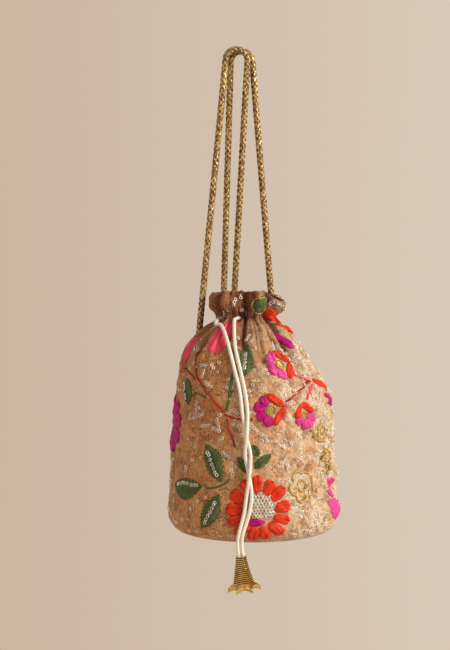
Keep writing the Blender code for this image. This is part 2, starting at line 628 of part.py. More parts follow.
def build_embroidery():
    """The stitched flowers, leaves and stems."""
    orange = new_material("orange_thread", ORANGE, 0.55)
    coral = new_material("coral_thread", CORAL, 0.55)
    pink = new_material("pink_thread", PINK, 0.55)
    magenta = new_material("magenta_thread", MAGENTA, 0.55)
    green = new_material("green_thread", GREEN, 0.6)
    gold = new_material("gold_thread", GOLD, 0.4, 0.5)
    silver = new_material("silver_sequins", SILVER, 0.25, 0.7)
    red = new_material("red_thread", STEM_RED, 0.55)

    large = (272, 34.7 * MM)
    add_patch("flower_large_petals", petal_ring(11 * MM, 25 * MM, 13), large, 8, orange)
    add_patch("flower_large_centre_top", petal_ring(0.8 * MM, 10 * MM, 3, 0.47), large, 5, silver)
    add_patch("flower_large_centre_foot", petal_ring(0.8 * MM, 10 * MM, 3, 0.47), large, 185, magenta)

    add_blossom("flower_middle", (279.5, 108 * MM), 4.5 * MM, 11 * MM, 8, (orange, magenta), -80, gold)
    add_blossom("flower_upper", (297, 143.5 * MM), 4.5 * MM, 10.5 * MM, 8, (orange, pink), -80, gold)
    add_blossom("flower_right", (308, 103.5 * MM), 4.0 * MM, 9.5 * MM, 6, (orange, pink), 10, gold)

    add_leaf("leaf_left_upper", (247.5, 54.5 * MM), (236, 82 * MM), 14 * MM, green)
    add_leaf("leaf_left_middle", (236, 50 * MM), (203, 48.5 * MM), 13 * MM, green, 2 * MM)
    add_leaf("leaf_left_lower", (246.5, 46 * MM), (234, 20.5 * MM), 13 * MM, green)
    add_leaf("leaf_small_right", (269.5, 64.5 * MM), (280.5, 75.5 * MM), 6 * MM, green)
    add_leaf("leaf_small_top", (268.5, 83 * MM), (272, 73.5 * MM), 5.5 * MM, green)
    add_leaf("leaf_small_left", (264, 61.5 * MM), (258.5, 73 * MM), 5 * MM, green)
    add_leaf("leaf_upper_left", (214, 110.5 * MM), (205, 131 * MM), 9 * MM, green)
    add_leaf("leaf_upper_middle", (264, 135 * MM), (273, 160 * MM), 8 * MM, green)

    add_leaf("petal_shoulder_left", (189, 143.5 * MM), (190, 167 * MM), 8 * MM, coral)
    add_leaf("petal_shoulder_front", (233, 156 * MM), (242, 181 * MM), 16 * MM, coral)
    add_leaf("petal_shoulder_right", (316, 171.5 * MM), (321.5, 157 * MM), 6.5 * MM, magenta)
    add_leaf("petal_neck_right", (326.5, 182.5 * MM), (340, 171.5 * MM), 5 * MM, orange)
    add_leaf("petal_side_right_upper", (322, 130.5 * MM), (339, 122 * MM), 6.5 * MM, orange)
    add_leaf("petal_side_right_lower", (331, 118 * MM), (344.5, 109 * MM), 6 * MM, magenta)
    add_leaf("petal_side_left_upper", (189, 118 * MM), (204, 97.5 * MM), 8 * MM, magenta)
    add_leaf("petal_side_left_lower", (205, 92 * MM), (193, 70.5 * MM), 8 * MM, magenta)
    add_leaf("petal_foot_right", (330, 49 * MM), (343, 24 * MM), 16 * MM, pink)

    for name, at, outer in (("upper", (324, 91), 8), ("middle", (329, 68), 8), ("lower", (303, 51.5), 9.5)):
        ring = petal_ring(2.4 * MM, outer * MM, 6)
        add_patch(f"gold_flower_{name}", ring, (at[0], at[1] * MM), 0, gold)

    left_stem = ((220, 154), (219, 146), (222, 136), (228, 128), (234, 121), (242, 113), (248.5, 106))
    add_stem("stem_left_upper", [(a, c * MM) for a, c in left_stem], 1.8 * MM, red)
    foot_stem = ((250.5, 102.5), (252, 95), (254.5, 88), (256.5, 80.5))
    add_stem("stem_left_lower", [(a, c * MM) for a, c in foot_stem], 1.8 * MM, red)
    right_stem = ((292, 114.5), (298.5, 117.5), (306, 122.5), (317, 128.5))
    add_stem("stem_right", [(a, c * MM) for a, c in right_stem], 1.8 * MM, red)

    back = (95, 40 * MM)
    add_patch("back_flower_petals", petal_ring(11 * MM, 24 * MM, 12), back, 0, orange)
    add_patch("back_flower_centre", disc_outline(10 * MM), back, 0, magenta)
    add_leaf("back_leaf_left", (122, 52 * MM), (150, 60 * MM), 13 * MM, green)
    add_leaf("back_leaf_right", (68, 52 * MM), (44, 66 * MM), 13 * MM, green)
    add_leaf("back_leaf_lower", (122, 44 * MM), (146, 30 * MM), 12 * MM, green)
    add_blossom("back_small_flower", (105, 112 * MM), 4.5 * MM, 11 * MM, 8, (magenta, orange), 20, gold)
    add_patch("side_flower", petal_ring(4 * MM, 11 * MM, 7), (18, 84 * MM), 0, magenta)


def main():
    clear_scene()
    cloth = new_material("embroidered_cloth", CLOTH_COLOUR, 0.7)
    rope = new_material("gold_rope", ROPE_COLOUR, 0.45, 0.4)
    cord = new_material("cream_cord", CORD_COLOUR, 0.6)
    body = build_body(cloth)
    build_base(cloth, new_material("card", CARD_COLOUR, 0.9))
    build_lining(new_material("lining_cloth", LINING_COLOUR, 0.75))
    build_handles(rope, body)
    build_drawstring(cord, body)
    build_bell(new_material("brass", BRASS_COLOUR, 0.25, 1.0))
    build_knot(cord)
    build_embroidery()


main()
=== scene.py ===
"""Looks of an embroidered drawstring pouch that hangs from two braided rope handles.

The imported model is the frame. Every soft or stitched piece here stands for a plain solid of that frame,
lies where it lies, and rides on the same body. Lengths are metres. A place on the cloth is an angle in
degrees, anticlockwise from +X, and a climb: millimetres up the cloth from the seam of its base. Flat places
in the needlework are millimetres too.
"""

import math
import random
from bisect import bisect_right

import bmesh
import bpy
from mathutils import Matrix, Vector, noise


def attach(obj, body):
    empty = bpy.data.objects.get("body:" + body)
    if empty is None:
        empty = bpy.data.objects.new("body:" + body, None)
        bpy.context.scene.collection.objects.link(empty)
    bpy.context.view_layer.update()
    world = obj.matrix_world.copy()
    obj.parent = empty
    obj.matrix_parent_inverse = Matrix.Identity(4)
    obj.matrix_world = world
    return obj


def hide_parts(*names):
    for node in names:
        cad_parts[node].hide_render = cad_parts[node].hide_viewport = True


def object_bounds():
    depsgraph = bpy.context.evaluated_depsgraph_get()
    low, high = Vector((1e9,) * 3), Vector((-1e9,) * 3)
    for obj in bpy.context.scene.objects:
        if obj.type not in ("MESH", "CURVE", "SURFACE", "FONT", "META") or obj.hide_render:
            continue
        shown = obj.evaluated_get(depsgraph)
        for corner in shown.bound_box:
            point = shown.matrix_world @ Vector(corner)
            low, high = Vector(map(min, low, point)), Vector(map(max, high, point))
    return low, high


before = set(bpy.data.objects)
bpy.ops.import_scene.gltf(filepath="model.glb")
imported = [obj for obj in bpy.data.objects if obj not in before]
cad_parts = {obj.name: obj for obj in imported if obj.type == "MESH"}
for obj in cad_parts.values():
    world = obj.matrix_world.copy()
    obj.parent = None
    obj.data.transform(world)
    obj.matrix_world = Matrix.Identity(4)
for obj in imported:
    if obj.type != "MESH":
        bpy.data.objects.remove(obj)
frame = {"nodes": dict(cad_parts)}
CAD_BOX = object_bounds()

bl_info = {
    "name": "Embroidered Drawstring Pouch",
    "version": (1, 0, 0),
    "blender": (4, 5, 0),
    "location": "View3D > Sidebar > Pouch",
    "description": "Builds the cloth, needlework, ropes and bell of a hanging drawstring pouch",
    "category": "Object",
}

MM = 0.001
BODY = "root"
PIXELS_HIGH = 650  # of the photograph

# Cloth body: heights are above the underside of the base, radii are over the ridges of the folds
POUCH_X = 11.2 * MM
BASE_Z = -381.0 * MM
CLEARANCE = 0.4 * MM
BASE_RADIUS = 53.0 * MM
CORNER_RADIUS = 14.5 * MM
CLOTH = 1.2 * MM
WAIST_HEIGHT, WAIST_RADIUS = 104.0 * MM, 62.4 * MM
SHOULDER_HEIGHT, SHOULDER_RADIUS = 132.0 * MM, 54.0 * MM
YOKE_HEIGHT, YOKE_RADIUS = 149.0 * MM, 45.0 * MM
GATHER_HEIGHT, GATHER_RADIUS = 161.0 * MM, 35.0 * MM
NECK_HEIGHT, NECK_RADIUS = 169.5 * MM, 22.4 * MM
RUFFLE_HEIGHT, RUFFLE_RADIUS = 180.0 * MM, 29.5 * MM
TOP_HEIGHT, TOP_RADIUS = 191.0 * MM, 27.0 * MM
NECK_LEAN = -5.0 * MM
SLUMP, SLUMP_HEIGHT, SLUMP_REACH = -3.2 * MM, 142.0 * MM, 17.0 * MM  # how far the shoulder leans beyond that
GIRTH = 62.0  # mm, the radius at which the silk's wrinkles and the sequins' gaps are worked out

FOOT_FOLD, WAIST_FOLD, SHOULDER_FOLD = 0.5 * MM, 1.6 * MM, 3.0 * MM
YOKE_FOLD, GATHER_FOLD, NECK_FOLD = 5.2 * MM, 7.0 * MM, 7.0 * MM
RUFFLE_FOLD, TOP_FOLD = 11.0 * MM, 10.0 * MM
VALLEY_ANGLES = (197, 268, 313, 355, 400, 445, 485, 522)
FOLD_SPREADS = (-1.0, 1.0, 4.5, 1.0, -1.0, 1.0, -1.0, 0.0)
FOLD_RISES = (0.5, 0.0, -7.5, -3.0, 0.5, -1.0, 0.5, -0.5)
FOLD_GATHERS = (3, 3, 2, 3, 3, 2, 3, 3)  # fine gathers within each fold

# Ropes and drawstring, where the solids have them
ROPE_DIAMETER = 5.4 * MM
LOOP_RADIUS = 8.7 * MM
LOOP_SIDE, LOOP_DEPTH = 2.0 * MM, 3.1 * MM
ROPE_TUCK = 4.5 * MM
FRONT_LOOP_ENDS = ((169, 154.5 * MM), (104, 152 * MM))
BACK_LOOP_ENDS = ((115, 150 * MM), (48, 156 * MM))
CORD_DIAMETER = 2.8 * MM
STITCH_GAP, STITCH_THICK = 0.45 * MM, 0.8 * MM
BELL_X, BELL_Y, BELL_TOP_Z = 0.5 * MM, -71.5 * MM, -387.5 * MM
BELL_LEAN = 6.0


def srgb(red, green, blue):
    """A colour as the photograph shows it, 0 to 255, in the linear values that shaders take."""
    def linear(value):
        share = value / 255
        return share / 12.92 if share <= 0.04045 else ((share + 0.055) / 1.055) ** 2.4
    return linear(red), linear(green), linear(blue)


def between(points, t):
    """A point of the smooth curve through the points, at t counted in points."""
    i = min(int(t), len(points) - 2)
    a, b = points[max(i - 1, 0)], points[i]
    c, d = points[i + 1], points[min(i + 2, len(points) - 1)]
    s = t - i
    return tuple(
        0.5 * (2 * q + (r - p) * s + (2 * p - 5 * q + 4 * r - w) * s ** 2 + (3 * q - p - 3 * r + w) * s ** 3)
        for p, q, r, w in zip(a, b, c, d)
    )


def ease(value, low, high):
    """0 below low, 1 above high, and a smooth step between them."""
    share = min(max((value - low) / (high - low), 0.0), 1.0)
    return share * share * (3 - 2 * share)


FOOT_RADIUS = BASE_RADIUS + CORNER_RADIUS
STATIONS = (
    (CORNER_RADIUS, FOOT_RADIUS, FOOT_FOLD),
    (WAIST_HEIGHT / 2, (FOOT_RADIUS + WAIST_RADIUS) / 2 + 0.6 * MM, (FOOT_FOLD + WAIST_FOLD) / 2),
    (WAIST_HEIGHT, WAIST_RADIUS, WAIST_FOLD),
    (SHOULDER_HEIGHT, SHOULDER_RADIUS, SHOULDER_FOLD),
    (YOKE_HEIGHT, YOKE_RADIUS, YOKE_FOLD),
    (GATHER_HEIGHT, GATHER_RADIUS, GATHER_FOLD),
    (NECK_HEIGHT, NECK_RADIUS, NECK_FOLD),
    (RUFFLE_HEIGHT, RUFFLE_RADIUS, RUFFLE_FOLD),
    (TOP_HEIGHT, TOP_RADIUS, TOP_FOLD),
)
STATION_STEPS = (1, 2, 2, 2, 1, 2, 2, 2)
CORNER_STEPS = 5


def cloth_rows():
    """(height, radius, fold depth) of the cloth's rows, from the base seam up."""
    rows = []
    for k in range(CORNER_STEPS):
        turn = math.pi / 2 * k / CORNER_STEPS
        height = CLEARANCE + (CORNER_RADIUS - CLEARANCE) * (1 - math.cos(turn))
        rows.append((height, BASE_RADIUS + CORNER_RADIUS * math.sin(turn), FOOT_FOLD * math.sin(turn)))
    for i, steps in enumerate(STATION_STEPS):
        rows += [between(STATIONS, i + k / steps) for k in range(steps)]
    return rows + [STATIONS[-1]]


CLOTH_ROWS = cloth_rows()
CLIMBS = [0.0]
for low_row, high_row in zip(CLOTH_ROWS, CLOTH_ROWS[1:]):
    CLIMBS.append(CLIMBS[-1] + math.hypot(high_row[0] - low_row[0], high_row[1] - low_row[1]) / MM)
TOP_CLIMB = CLIMBS[-1]
FINE_STEP = 0.5  # mm of climb between the rows that are looked up


def fine_rows():
    """The same section on a smooth curve, at even steps of climb."""
    rows = []
    for step in range(int(TOP_CLIMB / FINE_STEP) + 2):
        climb = min(step * FINE_STEP, TOP_CLIMB)
        k = min(bisect_right(CLIMBS, climb), len(CLIMBS) - 1) - 1
        rows.append(between(CLOTH_ROWS, k + (climb - CLIMBS[k]) / (CLIMBS[k + 1] - CLIMBS[k])))
    for _ in range(2):
        rows = [rows[0]] + [softened(rows, k) for k in range(1, len(rows) - 1)] + [rows[-1]]
    return rows


def softened(rows, k):
    """The mean of a row and its neighbours, which rounds off what joins at an angle."""
    reach = min(k, len(rows) - 1 - k, 6)
    near = rows[k - reach:k + reach + 1]
    return [sum(values) / len(near) for values in zip(*near)]


FINE_ROWS = fine_rows()


def row_at(climb):
    """(height, radius, fold depth) at a climb in millimetres."""
    step = min(max(climb / FINE_STEP, 0.0), len(FINE_ROWS) - 1.001)
    k = int(step)
    return [low + (high - low) * (step - k) for low, high in zip(FINE_ROWS[k], FINE_ROWS[k + 1])]


def climb_at(height):
    """The climb in millimetres at a height above the base's underside."""
    k = max(i for i, row in enumerate(CLOTH_ROWS) if row[0] <= height)
    low, high = CLOTH_ROWS[k], CLOTH_ROWS[k + 1]
    return CLIMBS[k] + (CLIMBS[k + 1] - CLIMBS[k]) * (height - low[0]) / (high[0] - low[0])


def lean_at(height):
    """Sideways offset of the pouch's centre at a height."""
    slump = SLUMP * math.exp(-((height - SLUMP_HEIGHT) / SLUMP_REACH) ** 2)
    return NECK_LEAN * ease(height, WAIST_HEIGHT, NECK_HEIGHT) + slump


def fold_at(angle):
    """The fold that an angle in degrees lies in, and the share of the way from its valley to the next."""
    turn = (angle - VALLEY_ANGLES[0]) % 360 + VALLEY_ANGLES[0]
    fold = bisect_right(VALLEY_ANGLES, turn) - 1
    end = (*VALLEY_ANGLES, VALLEY_ANGLES[0] + 360)[fold + 1]
    return fold, (turn - VALLEY_ANGLES[fold]) / (end - VALLEY_ANGLES[fold])


def pinch(phase):
    """1 in a valley and 0 on the rounded ridge between two valleys."""
    return 1 - abs(math.sin(math.pi * phase))


def place(radius, angle, height):
    turn = math.radians(angle)
    x = POUCH_X + lean_at(height) + radius * math.cos(turn)
    return Vector((x, radius * math.sin(turn), BASE_Z + height))


def ridge(spot):
    """Noise with sharp crests: 1 along its creases, and below 0 in the hollows between them."""
    return 1 - 4.4 * abs(noise.noise(spot))


def wrinkle(angle, climb, fold, phase):
    """Millimetres that the silk stands out of its smooth folds, by its gathers, creases and crumples."""
    turn = math.radians(angle)
    x, y, z = math.cos(turn) * GIRTH, math.sin(turn) * GIRTH, climb
    around = turn % math.tau * GIRTH
    drawn = ease(climb, 112, 166)  # 1 where the silk is gathered
    crumpled = ease(climb, 184, 200)  # 1 in the ruffle
    right_side = math.exp(-(((angle % 360) - 326) / 38) ** 2)
    right_side *= ease(climb, 4, 26) * (1 - ease(climb, 126, 164))

    spot = Vector((x, y, z))
    puckers = sum(high * noise.noise(spot / wide) for high, wide in ((1.7, 12.0), (0.9, 5.0), (0.3, 2.6)))
    upright = noise.noise(Vector((x / 4.6, y / 4.6, z / 34.0)))
    broad = noise.noise(Vector((x / 11.0, y / 11.0, z / 60.0)))
    gathers = 0.5 - 1.7 * pinch(FOLD_GATHERS[fold] * phase + 0.42 * upright + 0.5 * broad) ** 0.8
    creases = ridge(Vector(((around + z) / 24.0, (around - z) / 9.0, 3.1)))
    creases += 0.9 * ridge(Vector(((around + z) / 9.5, (around - z * 0.6) / 28.0, 9.4)))

    stand = 0.6 * puckers * (1 + 0.7 * right_side + 0.9 * crumpled)
    stand += 0.34 * upright * (1 + 1.2 * drawn) + 1.1 * broad * drawn
    stand += creases * (0.16 + 1.2 * right_side)
    stand += (1.2 + 1.0 * drawn) * gathers * drawn * (1 - 0.45 * ease(climb, 190, 210))
    return 0.2 + stand * (0.3 + 0.7 * ease(climb, 0, 12))


def surface(angle, climb):
    """A point of the cloth's outer face, wrinkles and all."""
    height, radius, depth = row_at(climb)
    fold, phase = fold_at(angle)
    nip = pinch(phase)
    ruffle = max(height - NECK_HEIGHT, 0.0) / (TOP_HEIGHT - NECK_HEIGHT) * (1 - nip)
    radius += (FOLD_SPREADS[fold] * ruffle + wrinkle(angle, climb, fold, phase)) * MM - depth * nip
    frill = (1.1 * noise.noise(Vector((angle / 7.0, 1.7, 0))) - 0.6) * ease(climb, TOP_CLIMB - 12, TOP_CLIMB)
    return place(radius, angle, height + (FOLD_RISES[fold] * ruffle + frill) * MM)


def fold_shade_share(angle, climb):
    """How deep in a fold or between two gathers the silk lies, from 0 to 1, which sets the painted shade in
    its colour; the ruffle is darker all over with the same painted shade.
    """
    fold, phase = fold_at(angle)
    deep = ease(climb, 110, 176) * pinch(phase) ** 1.3 * 0.9
    sunk = ease(-wrinkle(angle, climb, fold, phase), 0.3, 2.6) * (0.45 + 0.4 * ease(climb, 110, 165))
    return min(deep + sunk + 0.42 * ease(climb, 184, 196), 1.0) * 0.92


def outward(angle, climb):
    """The way out of the cloth there, smoothed over a couple of millimetres."""
    around = surface(angle + 1.6, climb) - surface(angle - 1.6, climb)
    up = surface(angle, min(climb + 1.8, TOP_CLIMB)) - surface(angle, max(climb - 1.8, 0))
    return around.cross(up).normalized()


def cloth_point(angle, climb, lift):
    """A point at a lift in metres outside the cloth."""
    return surface(angle, climb) + outward(angle, climb) * lift


def smooth_cloth_point(angle, climb, lift):
    """A point outside the cloth without its wrinkles, which the cords follow."""
    def at(turn, rise):
        height, radius, depth = row_at(rise)
        fold, phase = fold_at(turn)
        nip = pinch(phase)
        ruffle = max(height - NECK_HEIGHT, 0.0) / (TOP_HEIGHT - NECK_HEIGHT) * (1 - nip)
        radius += FOLD_SPREADS[fold] * MM * ruffle - depth * nip
        return place(radius, turn, height + FOLD_RISES[fold] * MM * ruffle)
    around = at(angle + 2, climb) - at(angle - 2, climb)
    up = at(angle, climb + 1.5) - at(angle, climb - 1.5)
    return at(angle, climb) + around.cross(up).normalized() * lift


class Wire:
    """An output of a node. Arithmetic on it adds the Math nodes that work it out."""

    def __init__(self, tree, socket=None):
        self.tree = tree
        self.socket = socket

    def node(self, kind, settings=None, inputs=None, output=0):
        """Add a node, its settings first, then the values or links of its sockets, and return an output."""
        node = self.tree.nodes.new(kind)
        for name, value in (settings or {}).items():
            setattr(node, name, value)
        for name, value in (inputs or {}).items():
            if isinstance(value, Wire):
                self.tree.links.new(value.socket, node.inputs[name])
            else:
                node.inputs[name].default_value = value
        return Wire(self.tree, node.outputs[output])

    def math(self, operation, *values):
        return self.node("ShaderNodeMath", {"operation": operation}, dict(enumerate(values)))

    def __add__(self, other):
        return self.math("ADD", self, other)

    def __sub__(self, other):
        return self.math("SUBTRACT", self, other)

    def __mul__(self, other):
        return self.math("MULTIPLY", self, other)

    def __rsub__(self, other):
        return self.math("SUBTRACT", other, self)

    __radd__ = __add__
    __rmul__ = __mul__

    def sine(self):
        return self.math("SINE", self)

    def cosine(self):
        return self.math("COSINE", self)

    def absolute(self):
        return self.math("ABSOLUTE", self)

    def at_most(self, limit):
        return self.math("MINIMUM", self, limit)

    def part(self, axis):
        return self.node("ShaderNodeSeparateXYZ", None, {0: self}, axis)

    def stretched(self, x, y, z):
        """These coordinates counted in cells of x, y and z metres."""
        scale = {"Scale": (1 / x, 1 / y, 1 / z)}
        return self.node("ShaderNodeMapping", {"vector_type": "POINT"}, {"Vector": self, **scale})

    def noise(self, size, detail=2.0, roughness=0.5):
        """Noise from 0 to 1 with features of about this size in metres."""
        values = {"Vector": self, "Scale": 1 / size, "Detail": detail, "Roughness": roughness}
        return self.node("ShaderNodeTexNoise", None, values)

    def cells(self, size, output="Distance"):
        """Distance to the middles of cells of this size, or each cell's own colour."""
        return self.node("ShaderNodeTexVoronoi", None, {"Vector": self, "Scale": 1 / size}, output)

    def step(self, low, high):
        """0 where this is below low, 1 above high, and smooth between."""
        settings = {"interpolation_type": "SMOOTHSTEP"}
        return self.node("ShaderNodeMapRange", settings, {"Value": self, "From Min": low, "From Max": high})

    def blend(self, first, second):
        """A colour between two, by this share of the second."""
        def as_colour(value):
            return value if isinstance(value, Wire) else (*value, 1.0)
        settings = {"data_type": "RGBA"}
        return self.node("ShaderNodeMix", settings, {0: self, 6: as_colour(first), 7: as_colour(second)}, 2)


def new_finish(name):
    """An empty material: its tree as a Wire, and its Principled shader."""
    material = bpy.data.materials.new(name)
    material.use_nodes = True
    tree = material.node_tree
    return material, Wire(tree), tree.nodes["Principled BSDF"]


def connect(wire, shader, inputs):
    """Give the shader's inputs their links or constant values."""
    for name, value in inputs.items():
        if isinstance(value, Wire):
            wire.tree.links.new(value.socket, shader.inputs[name])
        else:
            shader.inputs[name].default_value = (*value, 1.0) if isinstance(value, tuple) else value


def coordinates(wire, kind):
    return wire.node("ShaderNodeTexCoord", None, None, kind)


def bump(wire, height, distance, strength):
    """A normal from a height of 0 to 1 that stands for this distance in metres."""
    return wire.node("ShaderNodeBump", None, {"Height": height, "Distance": distance, "Strength": strength})


def silk_finish(name, silk):
    """Crumpled shot silk with painted light and shade: copper on the left turning to cream on the right,
    painted as if the lamp falls from the right, flecked, with painted shade in its folds and creases.
    """
    material, wire, shader = new_finish(name)
    at = coordinates(wire, "Object")
    thread = coordinates(wire, "UV")
    clouds = at.noise(0.014, 4.0, 0.62).step(0.34, 0.66)
    flecks = at.stretched(1, 1, 1.4).noise(0.0013, 3.0, 0.7)
    patches = at.noise(0.007, 3.0, 0.6)
    mottle = at.noise(0.0105, 3.0, 0.66).step(0.40, 0.62)
    dots = (1 - at.cells(0.0021)) * 0.22
    fleck = (flecks + patches * 0.62 + dots).step(0.84, 1.0) * (0.30 + mottle * 0.70)
    # painted light: the silk pales from copper to cream towards the right, where the key lamp falls
    side = (at.part(0) + patches * 0.03).step(-0.015, 0.075)
    low = side.blend(tuple(silk.tan), tuple(silk.cream_ground))
    high = side.blend(tuple(silk.pale), tuple(silk.cream))
    ground = clouds.blend(low, high)
    crease = (at.noise(0.0085, 2.0, 0.5) - 0.5).absolute()
    # painted shade along creases of noise, stronger towards the right
    crease_shade = (1 - crease * 16).step(0.1, 1.0) * (0.12 + side * 0.20)
    # painted shade deep in the folds and between the gathers, from the cloth's vertex attribute
    hollow = wire.node("ShaderNodeAttribute", {"attribute_name": "hollow"}, None, "Fac")
    # the dark flecks fade towards the right, part of the same painted light
    flecked = (fleck * (0.84 - side * 0.42)).blend(ground, tuple(silk.dark))
    colour = (hollow + crease_shade).at_most(1.0).blend(flecked, tuple(silk.hollow))
    warp = (thread.part(0) * (math.tau / (0.55 * MM))).sine()
    weft = (thread.part(1) * (math.tau / (0.62 * MM))).sine()
    crumple = at.noise(0.0048, 5.0, 0.66)
    height = crumple * 1.25 + warp * weft * 0.05 + flecks * 0.26 + crease * (1.2 + side * 1.0)
    connect(wire, shader, {
        "Base Color": colour,
        "Roughness": 0.36 + flecks * 0.24,
        "Normal": bump(wire, height, 2.2 * MM, 1.0),
        "Specular IOR Level": 0.35,
        "Sheen Weight": 0.05,
        "Sheen Roughness": 0.4,
    })
    return material


def lining_finish(name):
    """Plain tan satin inside the pouch."""
    material, wire, shader = new_finish(name)
    at = coordinates(wire, "Object")
    clouds = at.noise(0.018, 2.0)
    grain = at.stretched(1, 1, 14).noise(0.0009, 2.0)
    connect(wire, shader, {
        "Base Color": clouds.step(0.3, 0.7).blend(srgb(150, 116, 84), srgb(184, 148, 110)),
        "Roughness": 0.42 + grain * 0.2,
        "Normal": bump(wire, grain + clouds, 0.3 * MM, 0.5),
        "Sheen Weight": 0.2,
    })
    return material


def card_finish(name):
    """Grey-brown pulp board with short fibres."""
    material, wire, shader = new_finish(name)
    at = coordinates(wire, "Object")
    fibres = at.stretched(1, 5, 1).noise(0.0012, 3.0, 0.7)
    connect(wire, shader, {
        "Base Color": fibres.step(0.3, 0.72).blend(srgb(150, 128, 102), srgb(190, 170, 140)),
        "Roughness": 0.9,
        "Normal": bump(wire, fibres, 0.2 * MM, 0.4),
    })
    return material


def thread_finish(name, colour, deep, pale):
    """Untwisted silk floss in satin stitch: fine strands along the stitch, with painted highlights streaked
    along them and painted shade between them.
    """
    material, wire, shader = new_finish(name)
    thread = coordinates(wire, "UV")
    across = thread.part(0)
    strands = thread.stretched(1.1 * MM, 11.0 * MM, 1.0).noise(1.0, 3.0, 0.6)
    fine = thread.stretched(0.35 * MM, 6.0 * MM, 1.0).noise(1.0, 1.0, 0.5)
    broad = thread.stretched(3.0 * MM, 6.0 * MM, 1.0).noise(1.0, 1.0, 0.5)
    furrow = (across * (math.tau / (0.9 * MM)) + strands * 7.0).sine() * 0.5 + 0.5
    # painted highlights: paler streaks along the strands, a painted sheen
    painted_highlight = (strands * 0.7 + broad * 0.5 + fine * 0.2).step(0.60, 0.95)
    # painted shade in the furrows between the strands
    shade = (1 - furrow).step(0.5, 1.0) * 0.40 + (1 - strands).step(0.46, 0.66) * 0.50
    connect(wire, shader, {
        "Base Color": shade.blend((painted_highlight * 0.7).blend(colour, pale), deep),
        "Roughness": 0.42 + fine * 0.2,
        "Normal": bump(wire, furrow * 0.5 + strands * 1.3 + fine * 0.4, 0.6 * MM, 0.9),
        "Specular IOR Level": 0.3,
        "Anisotropic": 0.35,
    })
    return material


def gilt_finish(name, colour, deep):
    """Dull gold thread, wound so that it glints in short dashes: the glints are painted highlights in its
    colour, and it is darker between its windings.
    """
    material, wire, shader = new_finish(name)
    thread = coordinates(wire, "UV")
    wound = (thread.part(0) * (math.tau / (1.1 * MM)) + thread.part(1) * (math.tau / (0.8 * MM))).sine()
    glint = coordinates(wire, "Object").noise(0.0011, 1.0)
    connect(wire, shader, {
        "Base Color": (wound * 0.35 + 0.35 + glint * 0.4).step(0.25, 0.85).blend(deep, colour),
        "Roughness": 0.34,
        "Metallic": 0.35 + glint * 0.4,
        "Normal": bump(wire, wound * 0.5 + glint, 0.22 * MM, 0.7),
    })
    return material


def rope_finish(name):
    """Braided antique-gold yarn: painted shade in olive between the plaits, and painted highlights in short
    pale dashes of metal.
    """
    material, wire, shader = new_finish(name)
    thread = coordinates(wire, "UV")
    around, along = thread.part(0), thread.part(1)
    plaits = (around * (math.tau * BRAID_PLAITS)).cosine() * (along * (math.tau / BRAID_PITCH)).cosine()
    dashes = coordinates(wire, "Object").stretched(1, 1, 1.7).noise(0.0011, 2.0, 0.6)
    glint_cells = coordinates(wire, "Object").stretched(1, 1, 1.5).cells(0.0013, "Color").part(0)
    # painted highlights: pale dashes and glints of metal
    painted_highlight = (dashes * 0.9 + glint_cells * 0.32 + plaits * 0.10).step(0.50, 0.88)
    # darker olive where the dashes fall low and between the plaits, a painted shade
    mid = (dashes + plaits * 0.16).step(0.34, 0.58)
    colour = painted_highlight.blend(mid.blend(srgb(76, 52, 16), srgb(138, 104, 50)), srgb(216, 186, 122))
    connect(wire, shader, {
        "Base Color": colour,
        "Roughness": 0.36 + (1 - painted_highlight) * 0.25,
        "Metallic": 0.25 + painted_highlight * 0.35,
        "Normal": bump(wire, dashes + glint_cells * 0.3, 0.5 * MM, 0.8),
    })
    return material


def cord_finish(name):
    """Cream rayon cord, twisted from three plies of fine filament."""
    material, wire, shader = new_finish(name)
    thread = coordinates(wire, "UV")
    around, along = thread.part(0), thread.part(1)
    fibres = (around * (math.tau * 9) - along * (math.tau * 9 / TWIST_PITCH)).sine()
    soil = coordinates(wire, "Object").noise(0.012, 2.0)
    ply = (around * (math.tau * 1.5) - along * (math.tau * 1.5 / TWIST_PITCH)).sine().absolute()
    # painted shade between the plies, with random soiled patches on top
    shade = (1 - ply).step(0.55, 1.0) * 0.5 + soil * 0.22
    connect(wire, shader, {
        "Base Color": shade.blend(srgb(247, 240, 222), srgb(196, 180, 142)),
        "Roughness": 0.42 + fibres * 0.06,
        "Normal": bump(wire, fibres * 0.5 + 0.5, 0.12 * MM, 0.6),
        "Sheen Weight": 0.2,
    })
    return material


def brass_finish(name):
    """Pressed brass with a dull brown film in its grooves."""
    material, wire, shader = new_finish(name)
    at = coordinates(wire, "Object")
    film = at.noise(0.004, 3.0, 0.6)
    groove = coordinates(wire, "UV").part(1)
    dull = (film * 0.7 + groove * 0.65).step(0.42, 0.86)
    connect(wire, shader, {
        "Base Color": dull.blend(srgb(236, 198, 118), srgb(84, 52, 14)),
        "Roughness": 0.14 + dull * 0.25,
        "Metallic": 1.0,
        "Normal": bump(wire, film, 0.15 * MM, 0.3),
    })
    return material


def sequin_finish(name):
    """Cup-shaped ring sequins, cream with a pearly glint, painted dark on the inner cone for the shade in the
    stitch opening and the silk seen through it.
    """
    material, wire, shader = new_finish(name)
    at = coordinates(wire, "Object")
    tone = at.noise(0.0035, 1.0)
    # painted shade on the inner cone, for the shadow in the stitch opening and the silk seen through it
    hole_shade = coordinates(wire, "UV").part(0).step(0.55, 0.9)
    pearl = tone.step(0.35, 0.65).blend(srgb(240, 222, 192), srgb(255, 252, 244))
    connect(wire, shader, {
        "Base Color": hole_shade.blend(pearl, srgb(96, 62, 40)),
        "Roughness": 0.22 + tone * 0.12,
        "Metallic": 0.12,
        "Coat Weight": 0.5,
    })
    return material


FINISHES = {}


